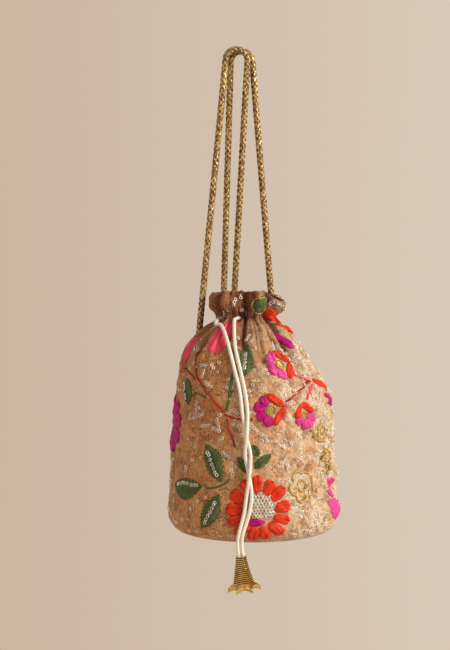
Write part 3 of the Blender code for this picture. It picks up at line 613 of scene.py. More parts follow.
def finish(name):
    """The finish of one of the record's material slots, made the first time it is asked for."""
    if name in FINISHES:
        return FINISHES[name]
    dyes = bpy.context.scene.pouch_threads
    silk = bpy.context.scene.pouch_cloth
    full = f"{name}_finish"

    def floss(dye, deep):
        colour = tuple(dye)
        # the paler colour of the painted highlights on the floss
        highlight_colour = tuple(min(value * 1.39 + 0.015, 1.0) for value in colour)
        return thread_finish(full, colour, tuple(value * deep for value in colour), highlight_colour)

    if name == "embroidered_cloth":
        FINISHES[name] = silk_finish(full, silk)
    elif name == "lining_cloth":
        FINISHES[name] = lining_finish(full)
    elif name == "card":
        FINISHES[name] = card_finish(full)
    elif name == "gold_rope":
        FINISHES[name] = rope_finish(full)
    elif name == "cream_cord":
        FINISHES[name] = cord_finish(full)
    elif name == "brass":
        FINISHES[name] = brass_finish(full)
    elif name == "silver_sequins":
        FINISHES[name] = sequin_finish(full)
    elif name == "gold_thread":
        FINISHES[name] = gilt_finish(full, tuple(dyes.gold), tuple(value * 0.35 for value in dyes.gold))
    else:
        deep = 0.66 if name == "coral_thread" else 0.42  # the coral petals lie in the fold shadows already
        FINISHES[name] = floss(getattr(dyes, name.removesuffix("_thread")), deep)
    return FINISHES[name]


def add_piece(name, bm, slot, replaced=(), wall=0.0):
    """Turn a bmesh into a piece of the pouch, with its finish, its wall and the nodes that it stands for."""
    bm.normal_update()
    mesh = bpy.data.meshes.new(name)
    bm.to_mesh(mesh)
    bm.free()
    mesh.shade_smooth()
    mesh.materials.append(finish(slot))
    piece = bpy.data.objects.new(name, mesh)
    bpy.context.scene.collection.objects.link(piece)
    if wall:
        thickness = piece.modifiers.new("wall", "SOLIDIFY")
        thickness.thickness = wall
        thickness.offset = -1.0
    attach(piece, BODY)
    if replaced:
        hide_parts(*replaced)
    return piece


def lay_threads(bm, threads):
    """Give each vertex's corners its place on the threads, which its finish reads."""
    uv = bm.loops.layers.uv.verify()
    for vert, spot in threads.items():
        for loop in vert.link_loops:
            loop[uv].uv = spot


def even_route(points, gap):
    """The smooth curve through the points, at even gaps along it."""
    fine = [Vector(between(points, k / 16)) for k in range((len(points) - 1) * 16 + 1)]
    travel = [0.0]
    for a, b in zip(fine, fine[1:]):
        travel.append(travel[-1] + (b - a).length)
    count = max(2, round(travel[-1] / gap))
    route = []
    for k in range(count + 1):
        target = travel[-1] * k / count
        i = min(bisect_right(travel, target), len(travel) - 1) - 1
        route.append(fine[i].lerp(fine[i + 1], (target - travel[i]) / (travel[i + 1] - travel[i])))
    return route


def route_frames(route):
    """Two cross directions at each point of a route, carried along it without twisting."""
    frames = []
    side = Vector((0.2, 1.0, 0.1))
    for k, point in enumerate(route):
        ahead = (route[min(k + 1, len(route) - 1)] - route[max(k - 1, 0)]).normalized()
        side = (side - ahead * side.dot(ahead)).normalized()
        frames.append((side, ahead.cross(side)))
    return frames


def add_rope(name, route, gap, sides, radius_at, slot, replaced):
    """A closed tube along a route, whose radius follows its braid or twist."""
    route = even_route(route, gap)
    frames = route_frames(route)
    bm = bmesh.new()
    verts = bmesh.ops.create_grid(bm, x_segments=len(route) - 1, y_segments=sides, size=1)["verts"]
    threads = {}
    for vert in verts:
        step = round((vert.co.x + 1) / 2 * (len(route) - 1))
        around = (vert.co.y + 1) / 2
        radius = radius_at(around, step * gap)
        side, other = frames[step]
        turn = math.tau * around
        vert.co = route[step] + (side * math.cos(turn) + other * math.sin(turn)) * radius
        threads[vert] = (around, step * gap)
    lay_threads(bm, threads)
    bmesh.ops.remove_doubles(bm, verts=bm.verts, dist=0.000001)
    ends = [edge for edge in bm.edges if edge.is_boundary]
    bmesh.ops.holes_fill(bm, edges=ends, sides=0)
    bmesh.ops.recalc_face_normals(bm, faces=bm.faces)
    return add_piece(name, bm, slot, replaced), route


def handle_route(ends, side, depth):
    """One handle: up from its first end, round at the grip and down to its other end."""
    centre = Vector((side, depth, ROPE_DIAMETER / 2 - LOOP_RADIUS))
    strands = []
    for end, way in zip(ends, (-1, 1)):
        foot = smooth_cloth_point(end[0], climb_at(end[1]), 0.0)
        top = centre + Vector((way * LOOP_RADIUS, 0, 0))
        inner = foot - (top - foot).normalized() * (ROPE_TUCK + CLOTH)
        strands.append([inner.lerp(top, k / 12) for k in range(12)])
    turns = [math.pi - math.pi * k / 6 for k in range(7)]
    loop = [centre + Vector((LOOP_RADIUS * math.cos(t), 0, LOOP_RADIUS * math.sin(t))) for t in turns]
    return strands[0] + loop + strands[1][::-1]


# Angle, climb, and how far in mm a strand passes over the other one
LEFT_STRAND = (
    (236, 177, 0), (247.5, 167, 0), (254.5, 155, 0), (257.5, 140, 0), (259.7, 121, 0), (261.5, 105, 0),
    (264.2, 89, 0), (267.0, 75, 0.4), (266.2, 60, 3.9), (264.5, 46, 1.0), (263.0, 34, 0),
)
RIGHT_STRAND = (
    (250, 181, 0), (259, 158, 0), (261.8, 142, 0), (263.3, 121, 0), (264.9, 105, 0.5),
    (264.5, 89, 3.9), (263.5, 75, 0.4), (266.0, 60, 0), (267.8, 46, 0), (266.1, 34, 0),
)
BELL_TOP = Vector((BELL_X, BELL_Y, BELL_TOP_Z))


def drawstring_route():
    """The drawstring from its end in the bell, up, round the casing, out and down to the bell again."""
    ring = NECK_RADIUS - NECK_FOLD - CLOTH - CLEARANCE - CORD_DIAMETER / 2
    lift = STITCH_GAP + STITCH_THICK + CLEARANCE + CORD_DIAMETER / 2
    half = CORD_DIAMETER / 2 + 0.15 * MM

    def on_strand(at):
        return smooth_cloth_point(at[0], at[1], lift + at[2] * MM)

    def beside(height, side):
        return BELL_TOP + Vector((side * half - height * math.tan(math.radians(BELL_LEAN)), 0, height))

    route = [beside(-4.0 * MM, -1), beside(2.0 * MM, -1), beside(9.0 * MM, -1)]
    route.append(BELL_TOP + Vector((-1.4 * MM, -0.5 * MM, 17.0 * MM)))
    route += [on_strand(at) for at in reversed(LEFT_STRAND)]
    route.append(place(NECK_RADIUS + 12.5 * MM, 226, NECK_HEIGHT - 5.0 * MM))
    route.append(place(NECK_RADIUS + 2.5 * MM, 206, NECK_HEIGHT - 1.0 * MM))
    route.append(place(NECK_RADIUS - 4.0 * MM, 198, NECK_HEIGHT))
    route.append(place(ring + 1.6 * MM, 192, NECK_HEIGHT))
    route += [place(ring, angle, NECK_HEIGHT) for angle in range(182, -100, -28)]
    route.append(place(ring + 0.8 * MM, 256.5, NECK_HEIGHT))
    route.append(place(ring + 3.6 * MM, 252.5, NECK_HEIGHT))
    route.append(place(NECK_RADIUS - 1.9 * MM, 250.5, NECK_HEIGHT))
    route.append(place(NECK_RADIUS + 2.5 * MM, 249, NECK_HEIGHT - 1.0 * MM))
    route += [on_strand(at) for at in RIGHT_STRAND]
    route.append(BELL_TOP + Vector((1.6 * MM, -0.5 * MM, 17.0 * MM)))
    return route + [beside(9.0 * MM, 1), beside(2.0 * MM, 1), beside(-4.0 * MM, 1)]


BRAID_PLAITS = 4  # plaits round the rope
BRAID_PITCH = 4.6 * MM
BRAID_GAP = 0.65 * MM
TWIST_PITCH = 8.0 * MM
TWIST_GAP = 0.8 * MM


def dye(name, description, *colour):
    """A colour that a user can change."""
    return bpy.props.FloatVectorProperty(
        name=name, description=description, default=srgb(*colour), subtype="COLOR"
    )


class PouchCloth(bpy.types.PropertyGroup):
    """Size and colours of the silk."""
    columns: bpy.props.IntProperty(
        name="Columns", description="Faces round the cloth, a multiple of eight", default=272, min=64
    )
    rows: bpy.props.IntProperty(name="Rows", description="Faces up the cloth", default=150, min=30)
    wall: bpy.props.FloatProperty(
        name="Wall", description="Thickness of the embroidered cloth", default=CLOTH, unit="LENGTH"
    )
    pale: dye("Copper crests", "Silk on its crests", 246, 182, 114)
    tan: dye("Copper ground", "Silk between its crests", 216, 138, 74)
    # painted light: cream is the colour of the right side of the silk, where the key lamp falls
    cream: dye("Cream crests", "The pale side of the silk", 255, 234, 198)
    cream_ground: dye("Cream ground", "The pale side's ground", 238, 188, 138)
    dark: dye("Flecks", "Flecks in the silk", 124, 66, 28)
    # painted shade: the colour of the silk deep in its folds and creases
    hollow: dye("Folds", "Silk deep in its folds", 112, 48, 12)


class PouchThreads(bpy.types.PropertyGroup):
    """Colours of the embroidery threads."""
    orange: dye("Orange", "Petals", 246, 58, 14)
    coral: dye("Coral", "Petals under the neck", 255, 78, 106)
    pink: dye("Pink", "Petals", 246, 78, 156)
    magenta: dye("Magenta", "Petals", 206, 0, 126)
    green: dye("Green", "Leaves", 94, 108, 56)
    red: dye("Red", "Stems", 186, 52, 30)
    gold: dye("Gold", "Outlines", 232, 194, 106)


class PouchCords(bpy.types.PropertyGroup):
    """Real lengths of the ropes and of the drawstring."""
    handle: bpy.props.FloatProperty(
        name="Handle rope", description="Length of each rope, tucked ends too", default=0.488, unit="LENGTH"
    )
    drawstring: bpy.props.FloatProperty(
        name="Drawstring", description="Length of the drawstring from end to end", default=0.497,
        unit="LENGTH",
    )


class PouchStage(bpy.types.PropertyGroup):
    """Backdrop, lights and camera."""
    backdrop_left: dye("Backdrop left", "Wall at the left edge", 202, 181, 161)
    backdrop_right: dye("Backdrop right", "Wall at the right edge", 217, 201, 184)
    key_power: bpy.props.FloatProperty(name="Key light", description="From the right and front", default=30.0)
    fill_power: bpy.props.FloatProperty(name="Fill light", description="From the left", default=4.0)
    sky: bpy.props.FloatProperty(name="Room light", description="Even light all round", default=0.36)
    distance: bpy.props.FloatProperty(
        name="Camera distance", description="From the grip to the camera", default=0.9, unit="LENGTH"
    )
    focal_pixels: bpy.props.FloatProperty(
        name="Focal length", description="In pixels of the photograph", default=1125.0
    )


FILM = 36.0  # mm on the long side
CAMERA_X, CAMERA_Z = -0.0112, -0.217  # so that the grip lies where it does in the photograph
KEY_AT, KEY_SIZE = (1.35, -0.8, 0.50), 0.5
FILL_AT, FILL_SIZE = (-1.3, -0.9, 0.1), 1.2
LAMP_COLOUR = (1.0, 0.965, 0.92)
FLOOR_RADIUS, FLOOR_DROP = 5.0, 0.16  # the floor lies this far under the bell
WALL_SPREAD = 2.5  # shares of the wall's change of colour for each unit of a view ray's slope


class POUCH_OT_stage(bpy.types.Operator):
    """Add the pale floor, the backdrop colour, the lights and the camera"""
    bl_idname = "pouch.stage"
    bl_label = "Stage"

    def execute(self, context):
        settings = context.scene.pouch_stage
        context.scene.view_settings.view_transform = "Standard"
        self.add_camera(context, settings)
        self.add_room(context, settings)
        self.add_light("key", KEY_AT, KEY_SIZE, settings.key_power)
        self.add_light("fill", FILL_AT, FILL_SIZE, settings.fill_power)
        return {"FINISHED"}

    def add_camera(self, context, settings):
        camera = bpy.data.cameras.new("camera")
        camera.sensor_fit = "AUTO"
        camera.sensor_width = FILM
        camera.lens = settings.focal_pixels * FILM / PIXELS_HIGH
        view = bpy.data.objects.new("camera", camera)
        view.location = (CAMERA_X, -settings.distance, CAMERA_Z)
        view.rotation_euler = (math.radians(90), 0, 0)
        context.scene.collection.objects.link(view)
        context.scene.camera = view

    def add_light(self, name, location, size, power):
        lamp = bpy.data.lights.new(name, "AREA")
        lamp.shape = "SQUARE"
        lamp.size = size
        lamp.energy = power
        lamp.color = LAMP_COLOUR
        light = bpy.data.objects.new(name, lamp)
        light.location = location
        aim = Vector((POUCH_X, 0, BASE_Z + WAIST_HEIGHT)) - Vector(location)
        light.rotation_euler = aim.to_track_quat("-Z", "Y").to_euler()
        bpy.context.scene.collection.objects.link(light)

    def add_room(self, context, settings):
        """A floor that sends light up but isn't seen, and the wall that cameras and shiny pieces see."""
        left, right = tuple(settings.backdrop_left), tuple(settings.backdrop_right)
        bm = bmesh.new()
        bmesh.ops.create_circle(bm, cap_ends=True, segments=64, radius=FLOOR_RADIUS)
        mesh = bpy.data.meshes.new("floor")
        bm.to_mesh(mesh)
        bm.free()
        floor = bpy.data.objects.new("floor", mesh)
        context.scene.collection.objects.link(floor)
        floor.location.z = CAD_BOX[0].z - FLOOR_DROP
        material, wire, shader = new_finish("pale_floor")
        mesh.materials.append(material)
        connect(wire, shader, {"Base Color": right, "Roughness": 0.9})
        ends = {1: Wire(wire.tree, shader.outputs[0]), 2: wire.node("ShaderNodeBsdfTransparent")}
        mixed = wire.node("ShaderNodeMixShader", None, {0: self.seen(wire), **ends})
        wire.tree.links.new(mixed.socket, wire.tree.nodes["Material Output"].inputs["Surface"])
        world = bpy.data.worlds.new("room")
        context.scene.world = world
        world.use_nodes = True
        air = Wire(world.node_tree)
        light = air.node(
            "ShaderNodeBackground", None, {"Color": (1, 0.97, 0.93, 1), "Strength": settings.sky}
        )
        shade = (coordinates(air, "Generated").part(0) * WALL_SPREAD + 0.5).blend(left, right)
        wall = air.node("ShaderNodeBackground", None, {"Color": shade, "Strength": 1.0})
        sides = air.node("ShaderNodeMixShader", None, {0: self.seen(air), 1: light, 2: wall})
        air.tree.links.new(sides.socket, air.tree.nodes["World Output"].inputs["Surface"])

    def seen(self, wire):
        """1 for the rays that see the backdrop, by eye, mirror or glass."""
        rays = [wire.node("ShaderNodeLightPath", None, None, f"Is {kind} Ray")
                for kind in ("Camera", "Glossy", "Transmission")]
        return (rays[0] + rays[1] + rays[2]).at_most(1.0)


class POUCH_OT_cloth(bpy.types.Operator):
    """Add the gathered silk body with its wrinkles and ruffle"""
    bl_idname = "pouch.cloth"
    bl_label = "Silk body"

    def execute(self, context):
        settings = context.scene.pouch_cloth
        folds = len(VALLEY_ANGLES)
        ends = (*VALLEY_ANGLES, VALLEY_ANGLES[0] + 360)
        steps = settings.columns // folds
        bm = bmesh.new()
        # how much painted shade each point of the silk gets in its folds
        hollow = bm.verts.layers.float.new("hollow")
        verts = bmesh.ops.create_grid(
            bm, x_segments=steps * folds, y_segments=settings.rows, size=1
        )["verts"]
        threads = {}
        for vert in verts:
            fold, step = divmod(round((vert.co.x + 1) / 2 * steps * folds), steps)
            fold, step = (folds - 1, steps) if fold == folds else (fold, step)
            angle = ends[fold] + (ends[fold + 1] - ends[fold]) * step / steps
            climb = (vert.co.y + 1) / 2 * TOP_CLIMB
            threads[vert] = (math.radians(angle) * WAIST_RADIUS, climb * MM)
            vert.co = surface(angle, climb)
            vert[hollow] = fold_shade_share(angle, climb)
        lay_threads(bm, threads)
        bmesh.ops.remove_doubles(bm, verts=bm.verts, dist=0.00001)
        cloth = add_piece("silk_body", bm, "embroidered_cloth", ["cloth_body"], settings.wall)
        return {"FINISHED"}


class POUCH_OT_lining(bpy.types.Operator):
    """Add the satin lining and the base cloth, and finish the card and the knot"""
    bl_idname = "pouch.lining"
    bl_label = "Lining and base"

    FOOT = 3.8  # mm of base cloth and card under the lining
    HEADING = 7.5  # mm above the neck where the lining is sewn to the silk
    THROAT = 10.6  # mm, its radius inside the drawstring
    SLACK, YOKE_SLACK, CORNER = 3.4, 5.0, 11.0  # mm inside the silk, more at the yoke, and its foot's corner
    FLOOR_SHARE = 0.2  # of its rows, flat on the card
    PLEATS = 22  # round the throat

    def execute(self, context):
        nodes = frame["nodes"]
        for name, slot in (("base_card", "card"), ("end_knot", "cream_cord")):
            nodes[name].data.materials.clear()
            nodes[name].data.materials.append(finish(slot))
        self.add_lining()
        self.add_base()
        return {"FINISHED"}

    def add_lining(self):
        """A round bag of satin: flat on the card, gathered at the throat and open above it."""
        neck = NECK_HEIGHT / MM
        top = neck + self.HEADING
        bm = bmesh.new()
        verts = bmesh.ops.create_grid(bm, x_segments=144, y_segments=90, size=1)["verts"]
        threads = {}
        for vert in verts:
            angle, share = (vert.co.x + 1) * 180, (vert.co.y + 1) / 2
            height = self.FOOT + (top - self.FOOT) * max(share - self.FLOOR_SHARE, 0) / (1 - self.FLOOR_SHARE)
            above = height - self.FOOT
            row = row_at(climb_at(max(height, 16) * MM))
            side = (row[1] - row[2]) / MM - self.SLACK - self.YOKE_SLACK * ease(height, 132, 160)
            radius = side + (self.THROAT - side) * ease(height, 158, 166)
            radius -= self.CORNER * (1 - ease(above, 0, 11)) * (1 - 0.5 * ease(above, 0, 6))
            radius *= min(share / self.FLOOR_SHARE, 1.0)
            drift = 2.5 * noise.noise(Vector((angle / 30, 0.3, 7.0)))
            pleats = math.sin(math.radians(angle) * self.PLEATS + drift)
            radius += pleats * 0.5 * ease(height, 120, neck - 4) * (1 - ease(height, 171, 176))
            threads[vert] = (math.radians(angle) * radius * MM, height * MM)
            vert.co = place(radius * MM, angle, height * MM)
        lay_threads(bm, threads)
        bmesh.ops.remove_doubles(bm, verts=bm.verts, dist=0.00001)
        bmesh.ops.recalc_face_normals(bm, faces=bm.faces)
        lining = add_piece("lining_satin", bm, "lining_cloth", ["lining"], 0.7 * MM)

    def add_base(self):
        """The round base of silk, slightly puckered at its seam."""
        thick, rim = 1.4 * MM, BASE_RADIUS - 2 * CLEARANCE
        bm = bmesh.new()
        verts = bmesh.ops.create_grid(bm, x_segments=64, y_segments=64, size=1)["verts"]
        threads = {}
        for vert in verts:
            x, y = vert.co.xy
            reach = max(abs(x), abs(y)) / math.hypot(x, y) if x or y else 0.0
            x, y = x * reach * rim, y * reach * rim
            edge = math.hypot(x, y) / rim
            pucker = 0.35 * MM * noise.noise(Vector((x, y, 0)) / (6 * MM)) * (1 - edge ** 6)
            vert.co = (POUCH_X + x, y, BASE_Z + thick + pucker - 0.3 * MM)
            threads[vert] = (x, y)
        lay_threads(bm, threads)
        base = add_piece("base_cloth", bm, "embroidered_cloth", ["base_panel"], 1.0 * MM)


class POUCH_OT_handles(bpy.types.Operator):
    """Add the two braided rope handles"""
    bl_idname = "pouch.handles"
    bl_label = "Rope handles"

    def execute(self, context):
        def plaits(around, along):
            wave = math.cos(math.tau * BRAID_PLAITS * around) * math.cos(math.tau * along / BRAID_PITCH)
            return ROPE_DIAMETER / 2 * (0.92 + 0.12 * wave)

        for name, ends, way in (("handle_front", FRONT_LOOP_ENDS, -1), ("handle_back", BACK_LOOP_ENDS, 1)):
            route = handle_route(ends, LOOP_SIDE * way, LOOP_DEPTH * way)
            rope, path = add_rope(f"{name}_braid", route, BRAID_GAP, 24, plaits, "gold_rope", [name])
            path[::4] + path[-1:]
        return {"FINISHED"}


class POUCH_OT_drawstring(bpy.types.Operator):
    """Add the cream drawstring, from the bell round the neck and back"""
    bl_idname = "pouch.drawstring"
    bl_label = "Drawstring"

    def execute(self, context):
        def plies(around, along):
            wave = abs(math.sin(math.pi * 3 * (around - along / TWIST_PITCH)))
            return CORD_DIAMETER / 2 * (0.86 + 0.16 * wave)

        cord, path = add_rope(
            "drawstring_cord", drawstring_route(), TWIST_GAP, 18, plies, "cream_cord", ["drawstring"]
        )
        path[::4] + path[-1:]
        return {"FINISHED"}


class POUCH_OT_bell(bpy.types.Operator):
    """Add the fluted brass bell"""
    bl_idname = "pouch.bell"
    bl_label = "Bell"

    HEIGHT = 19.5 * MM
    TOP, FOOT, LIP, FLAT = 4.1 * MM, 6.9 * MM, 12.2 * MM, 8.8 * MM
    DROP, BAND, WALL = 3.4 * MM, 2.6 * MM, 0.7 * MM
    RIBS, RIB_DEPTH, RIB_STEPS = 14, 0.5 * MM, 6
    CORNERS, CORNER_STEPS = 6, 12

    def section(self):
        """The ribbed outside from the top down: (height, radius, corner share, groove)."""
        rows = []
        count = self.RIBS * self.RIB_STEPS
        for k in range(count + 1):
            share = k / count
            groove = 0.5 - 0.5 * math.cos(math.tau * self.RIBS * share)
            radius = self.TOP + (self.FOOT - self.TOP) * share ** 1.4
            rows.append((-self.HEIGHT * share, radius - self.RIB_DEPTH * groove, 0.35 * share, groove))
        for k in range(1, 6):
            share = k / 5
            radius = self.FOOT + (self.FLAT - self.FOOT) * share
            rows.append((-self.HEIGHT - 0.4 * self.DROP * share, radius, 0.35 + 0.65 * share, 0.3))
        for k in range(1, 5):
            rows.append((-self.HEIGHT - 0.4 * self.DROP - self.BAND * k / 4, self.FLAT, 1.0, 0.15))
        return rows

    def execute(self, context):
        rows = self.section()
        bm = bmesh.new()
        uv = bm.loops.layers.uv.new("threads")
        verts = [bm.verts.new((row[1], 0, row[0])) for row in rows]
        edges = [bm.edges.new(pair) for pair in zip(verts, verts[1:])]
        steps = self.CORNERS * self.CORNER_STEPS
        bmesh.ops.spin(
            bm, geom=verts + edges, cent=(0, 0, 0), axis=(0, 0, 1), angle=math.tau, steps=steps,
            use_merge=True,
        )
        bmesh.ops.remove_doubles(bm, verts=bm.verts, dist=0.000001)
        place_bell = Matrix.Translation(BELL_TOP) @ Matrix.Rotation(-math.radians(BELL_LEAN), 4, "Y")
        for vert in bm.verts:
            radius, height = vert.co.xy.length, vert.co.z
            row = min(rows, key=lambda row: abs(row[0] - height) + abs(row[1] - radius))
            turn = math.atan2(vert.co.y, vert.co.x) / math.tau * self.CORNERS
            facet = math.cos(math.pi / self.CORNERS)
            facet /= math.cos(((turn % 1) - 0.5) * math.tau / self.CORNERS)
            corner = pinch(turn) ** 1.2 * row[2]
            reach = radius * (1 - 0.7 * (1 - facet)) + (self.LIP - self.FLAT) * corner
            vert.co.xy *= reach / radius
            vert.co.z -= 0.6 * self.DROP * corner * row[2]
            for loop in vert.link_loops:
                loop[uv].uv = (turn, row[3])
        bmesh.ops.recalc_face_normals(bm, faces=bm.faces)
        bmesh.ops.transform(bm, matrix=place_bell, verts=bm.verts)
        bell = add_piece("bell_fluted", bm, "brass", ["bell"], self.WALL)
        bell.data.set_sharp_from_angle(angle=math.radians(60))
        return {"FINISHED"}


# Needlework

EDGE_LIFT = 0.15 * MM  # height of a stitch's ends above the cloth
TAKEN = []  # (angle, climb, radius in mm) of the stitched motifs, which loose sequins keep clear of


def flat_spot(at, turn, right, up):
    """(angle, climb) of what lies right and up, in mm, of a motif's own place, in a motif turned that way."""
    c, s = math.cos(math.radians(turn)), math.sin(math.radians(turn))
    across, rise = right * c - up * s, right * s + up * c
    radius = row_at(at[1])[1] / MM
    return at[0] + math.degrees(across / radius), at[1] + rise


def stitch(bm, at, turn, steps, shape):
    """Lay a sheet of stitches: shape(s, t), both from -1 to 1, gives right, up, lift and thread place."""
    verts = bmesh.ops.create_grid(bm, x_segments=steps[0], y_segments=steps[1], size=1)["verts"]
    threads = {}
    for vert in verts:
        right, up, lift, across, along = shape(vert.co.x, vert.co.y)
        vert.co = cloth_point(*flat_spot(at, turn, right, up), lift)
        threads[vert] = (across * MM, along * MM)
    lay_threads(bm, threads)


def rough(seed, value):
    """A steady random number from -1 to 1 for a stitch."""
    return noise.noise(Vector((seed * 7.31, value * 3.7, 0.5))) * 2


def petal(bm, at, turn, inner, outer, width, rise, notch, seed, power=3.4):
    """A petal of lengthwise stitches from inner to outer, with a rounded and slightly cleft end."""
    length = outer - inner

    def shape(s, t):
        half = width / 2 * (1 - abs(s) ** power) ** 0.42 * (0.84 + 0.16 * s)
        cleft = notch * math.exp(-(t / 0.28) ** 2) * max(s, 0) ** 4
        ragged = 0.05 * rough(seed, t * 5) * max(s, 0) ** 6
        along = inner + length * ((s + 1) / 2 * (1 - cleft) + ragged)
        dome = (1 - t * t) ** 0.5 * (1 - abs(s) ** 6) ** 0.5 if abs(t) < 1 else 0.0
        furrow = 1 - 0.45 * math.exp(-(t / 0.14) ** 2) * ease(s, -0.6, 0.3)
        side = t * half * (1 + 0.07 * rough(seed + 3, along * 0.8))
        return along, side, EDGE_LIFT + rise * dome * furrow * MM, side + seed * 3.1, along

    steps = (max(8, round(length / 0.9)), max(10, round(width)))
    stitch(bm, at, turn, steps, shape)


def leaf(bm, stalk, tip, width, bend, seed):
    """A leaf whose stitches slant from its midrib to a saw-toothed edge."""
    radius = row_at((stalk[1] + tip[1]) / 2)[1] / MM
    right, up = math.radians(tip[0] - stalk[0]) * radius, tip[1] - stalk[1]
    length = math.hypot(right, up)
    turn = math.degrees(math.atan2(up, right))

    def shape(s, t):
        share = (s + 1) / 2
        half = width / 2 * (0.06 + 0.94 * max(math.sin(math.pi * share ** 0.85), 0) ** 0.7)
        teeth = 0.12 * math.sin(share * length * 2.0 + seed) * abs(t) ** 3
        side = t * half * (1 + teeth + 0.06 * rough(seed, share * length))
        along = share * length + abs(t) * half * 0.55 * (1 - share)
        lift = 2 * abs(t) - 1
        dome = math.sqrt(max(1 - lift * lift, 0)) * min(1, half / (0.3 * width))
        spine = 1 - 0.7 * math.exp(-(t / 0.14) ** 2)
        across = share * length - abs(t) * half * 0.9
        top = EDGE_LIFT + (0.3 * spine + 0.7 * dome) * (1 - abs(t) ** 8) * MM
        return along, side + bend * math.sin(math.pi * share), top, across, t * half

    stitch(bm, stalk, turn, (max(14, round(length / 0.8)), 12), shape)
    note_taken(stalk, tip, width)


def note_taken(start, end, width):
    """Keep loose sequins off a long motif."""
    for k in range(4):
        share = (k + 0.5) / 4
        middle = tuple(a + (b - a) * share for a, b in zip(start, end))
        TAKEN.append((*middle, width / 2 + 1.2))


def flat_route(points):
    """(angle, climb) points as millimetres right and up of the first."""
    radius = row_at(points[0][1])[1] / MM
    return [(math.radians(angle - points[0][0]) * radius, climb - points[0][1]) for angle, climb in points]


STEM_GAP = 0.9  # mm between the rows of faces along a stem


def cord_on_cloth(bm, at, turn, flat, width, rise, closed=False, seed=0):
    """A couched cord or narrow satin stem along flat points."""
    route = even_route([(x, y, 0.0) for x, y in flat], STEM_GAP)
    count = len(route) - 1

    def shape(s, t):
        step = round((s + 1) / 2 * count)
        before = route[count - 1 if closed and step == 0 else max(step - 1, 0)]
        after = route[1 if closed and step == count else min(step + 1, count)]
        way = (after - before).normalized()
        half = width / 2 * (1 + 0.12 * rough(seed, step * 0.7))
        spot = route[step] + Vector((-way.y, way.x, 0)) * t * half
        dome = math.sqrt(max(1 - t * t, 0))
        return spot.x, spot.y, EDGE_LIFT + rise * dome * MM, t * half, step * STEM_GAP

    stitch(bm, at, turn, (count, 4), shape)


def evenly(count):
    """Turns of this many petals round a flower."""
    return [360 / count * k for k in range(count)]


def flower_outline(radius, petals, depth=0.24):
    """A closed round of petals as flat points."""
    count = petals * 6
    points = []
    for k in range(count + 1):
        turn = math.tau * k / count
        reach = radius * (1 - depth + depth * abs(math.sin(petals * turn / 2)))
        points.append((reach * math.cos(turn), reach * math.sin(turn)))
    return points


RING_OUTER, RING_MIDDLE, RING_INNER, RING_HEIGHT = 1.5 * MM, 1.1 * MM, 0.68 * MM, 0.45 * MM
RING_SIDES = 10


def ring_template():
    """One ring sequin: two short cones that meet at its crest, closed underneath, its inner cone marked for
    painted shade at the stitch opening.
    """
    if "ring_sequin" in bpy.data.meshes:
        return bpy.data.meshes["ring_sequin"]
    bm = bmesh.new()
    cones = (
        (RING_OUTER, RING_MIDDLE, RING_HEIGHT),
        (RING_INNER, RING_MIDDLE, RING_HEIGHT),
        (RING_INNER, RING_OUTER, 0.0),
    )
    for low, high, depth in cones:
        bmesh.ops.create_cone(
            bm, cap_ends=False, segments=RING_SIDES, radius1=low, radius2=high, depth=depth,
            matrix=Matrix.Translation((0, 0, depth / 2)),
        )
    bmesh.ops.remove_doubles(bm, verts=bm.verts, dist=0.00001)
    bmesh.ops.recalc_face_normals(bm, faces=bm.faces)
    # the inner cone is marked for the painted shade round the stitch opening
    hole_shade = (RING_INNER + RING_MIDDLE) / 2
    lay_threads(bm, {vert: (1.0 if vert.co.xy.length < hole_shade else 0.0, 0.0) for vert in bm.verts})
    mesh = bpy.data.meshes.new("ring_sequin")
    bm.to_mesh(mesh)
    bm.free()
    return mesh


def ring(bm, at, scale, lift, tilt):
    """Sew one ring sequin to the cloth at (angle, climb)."""
    way = (outward(*at) + Vector((tilt[0], 0, tilt[1]))).normalized()
    turned = way.to_track_quat("Z", "Y").to_matrix().to_4x4()
    mesh = ring_template().copy()
    mesh.transform(Matrix.Translation(cloth_point(*at, lift)) @ turned @ Matrix.Scale(scale, 4))
    bm.from_mesh(mesh)
    bpy.data.meshes.remove(mesh)


def any_tilt(draw):
    return draw.uniform(-0.3, 0.3), draw.uniform(-0.3, 0.3)


def ring_chain(bm, points, count, seed):
    """A row of ring sequins along (angle, climb) points."""
    draw = random.Random(seed)
    for k in range(count):
        angle, climb = between(points, (len(points) - 1) * k / max(count - 1, 1))
        tilt = any_tilt(draw)
        ring(bm, (angle, climb + draw.uniform(-0.3, 0.3)), 1.0, 1.3 * MM, tilt)


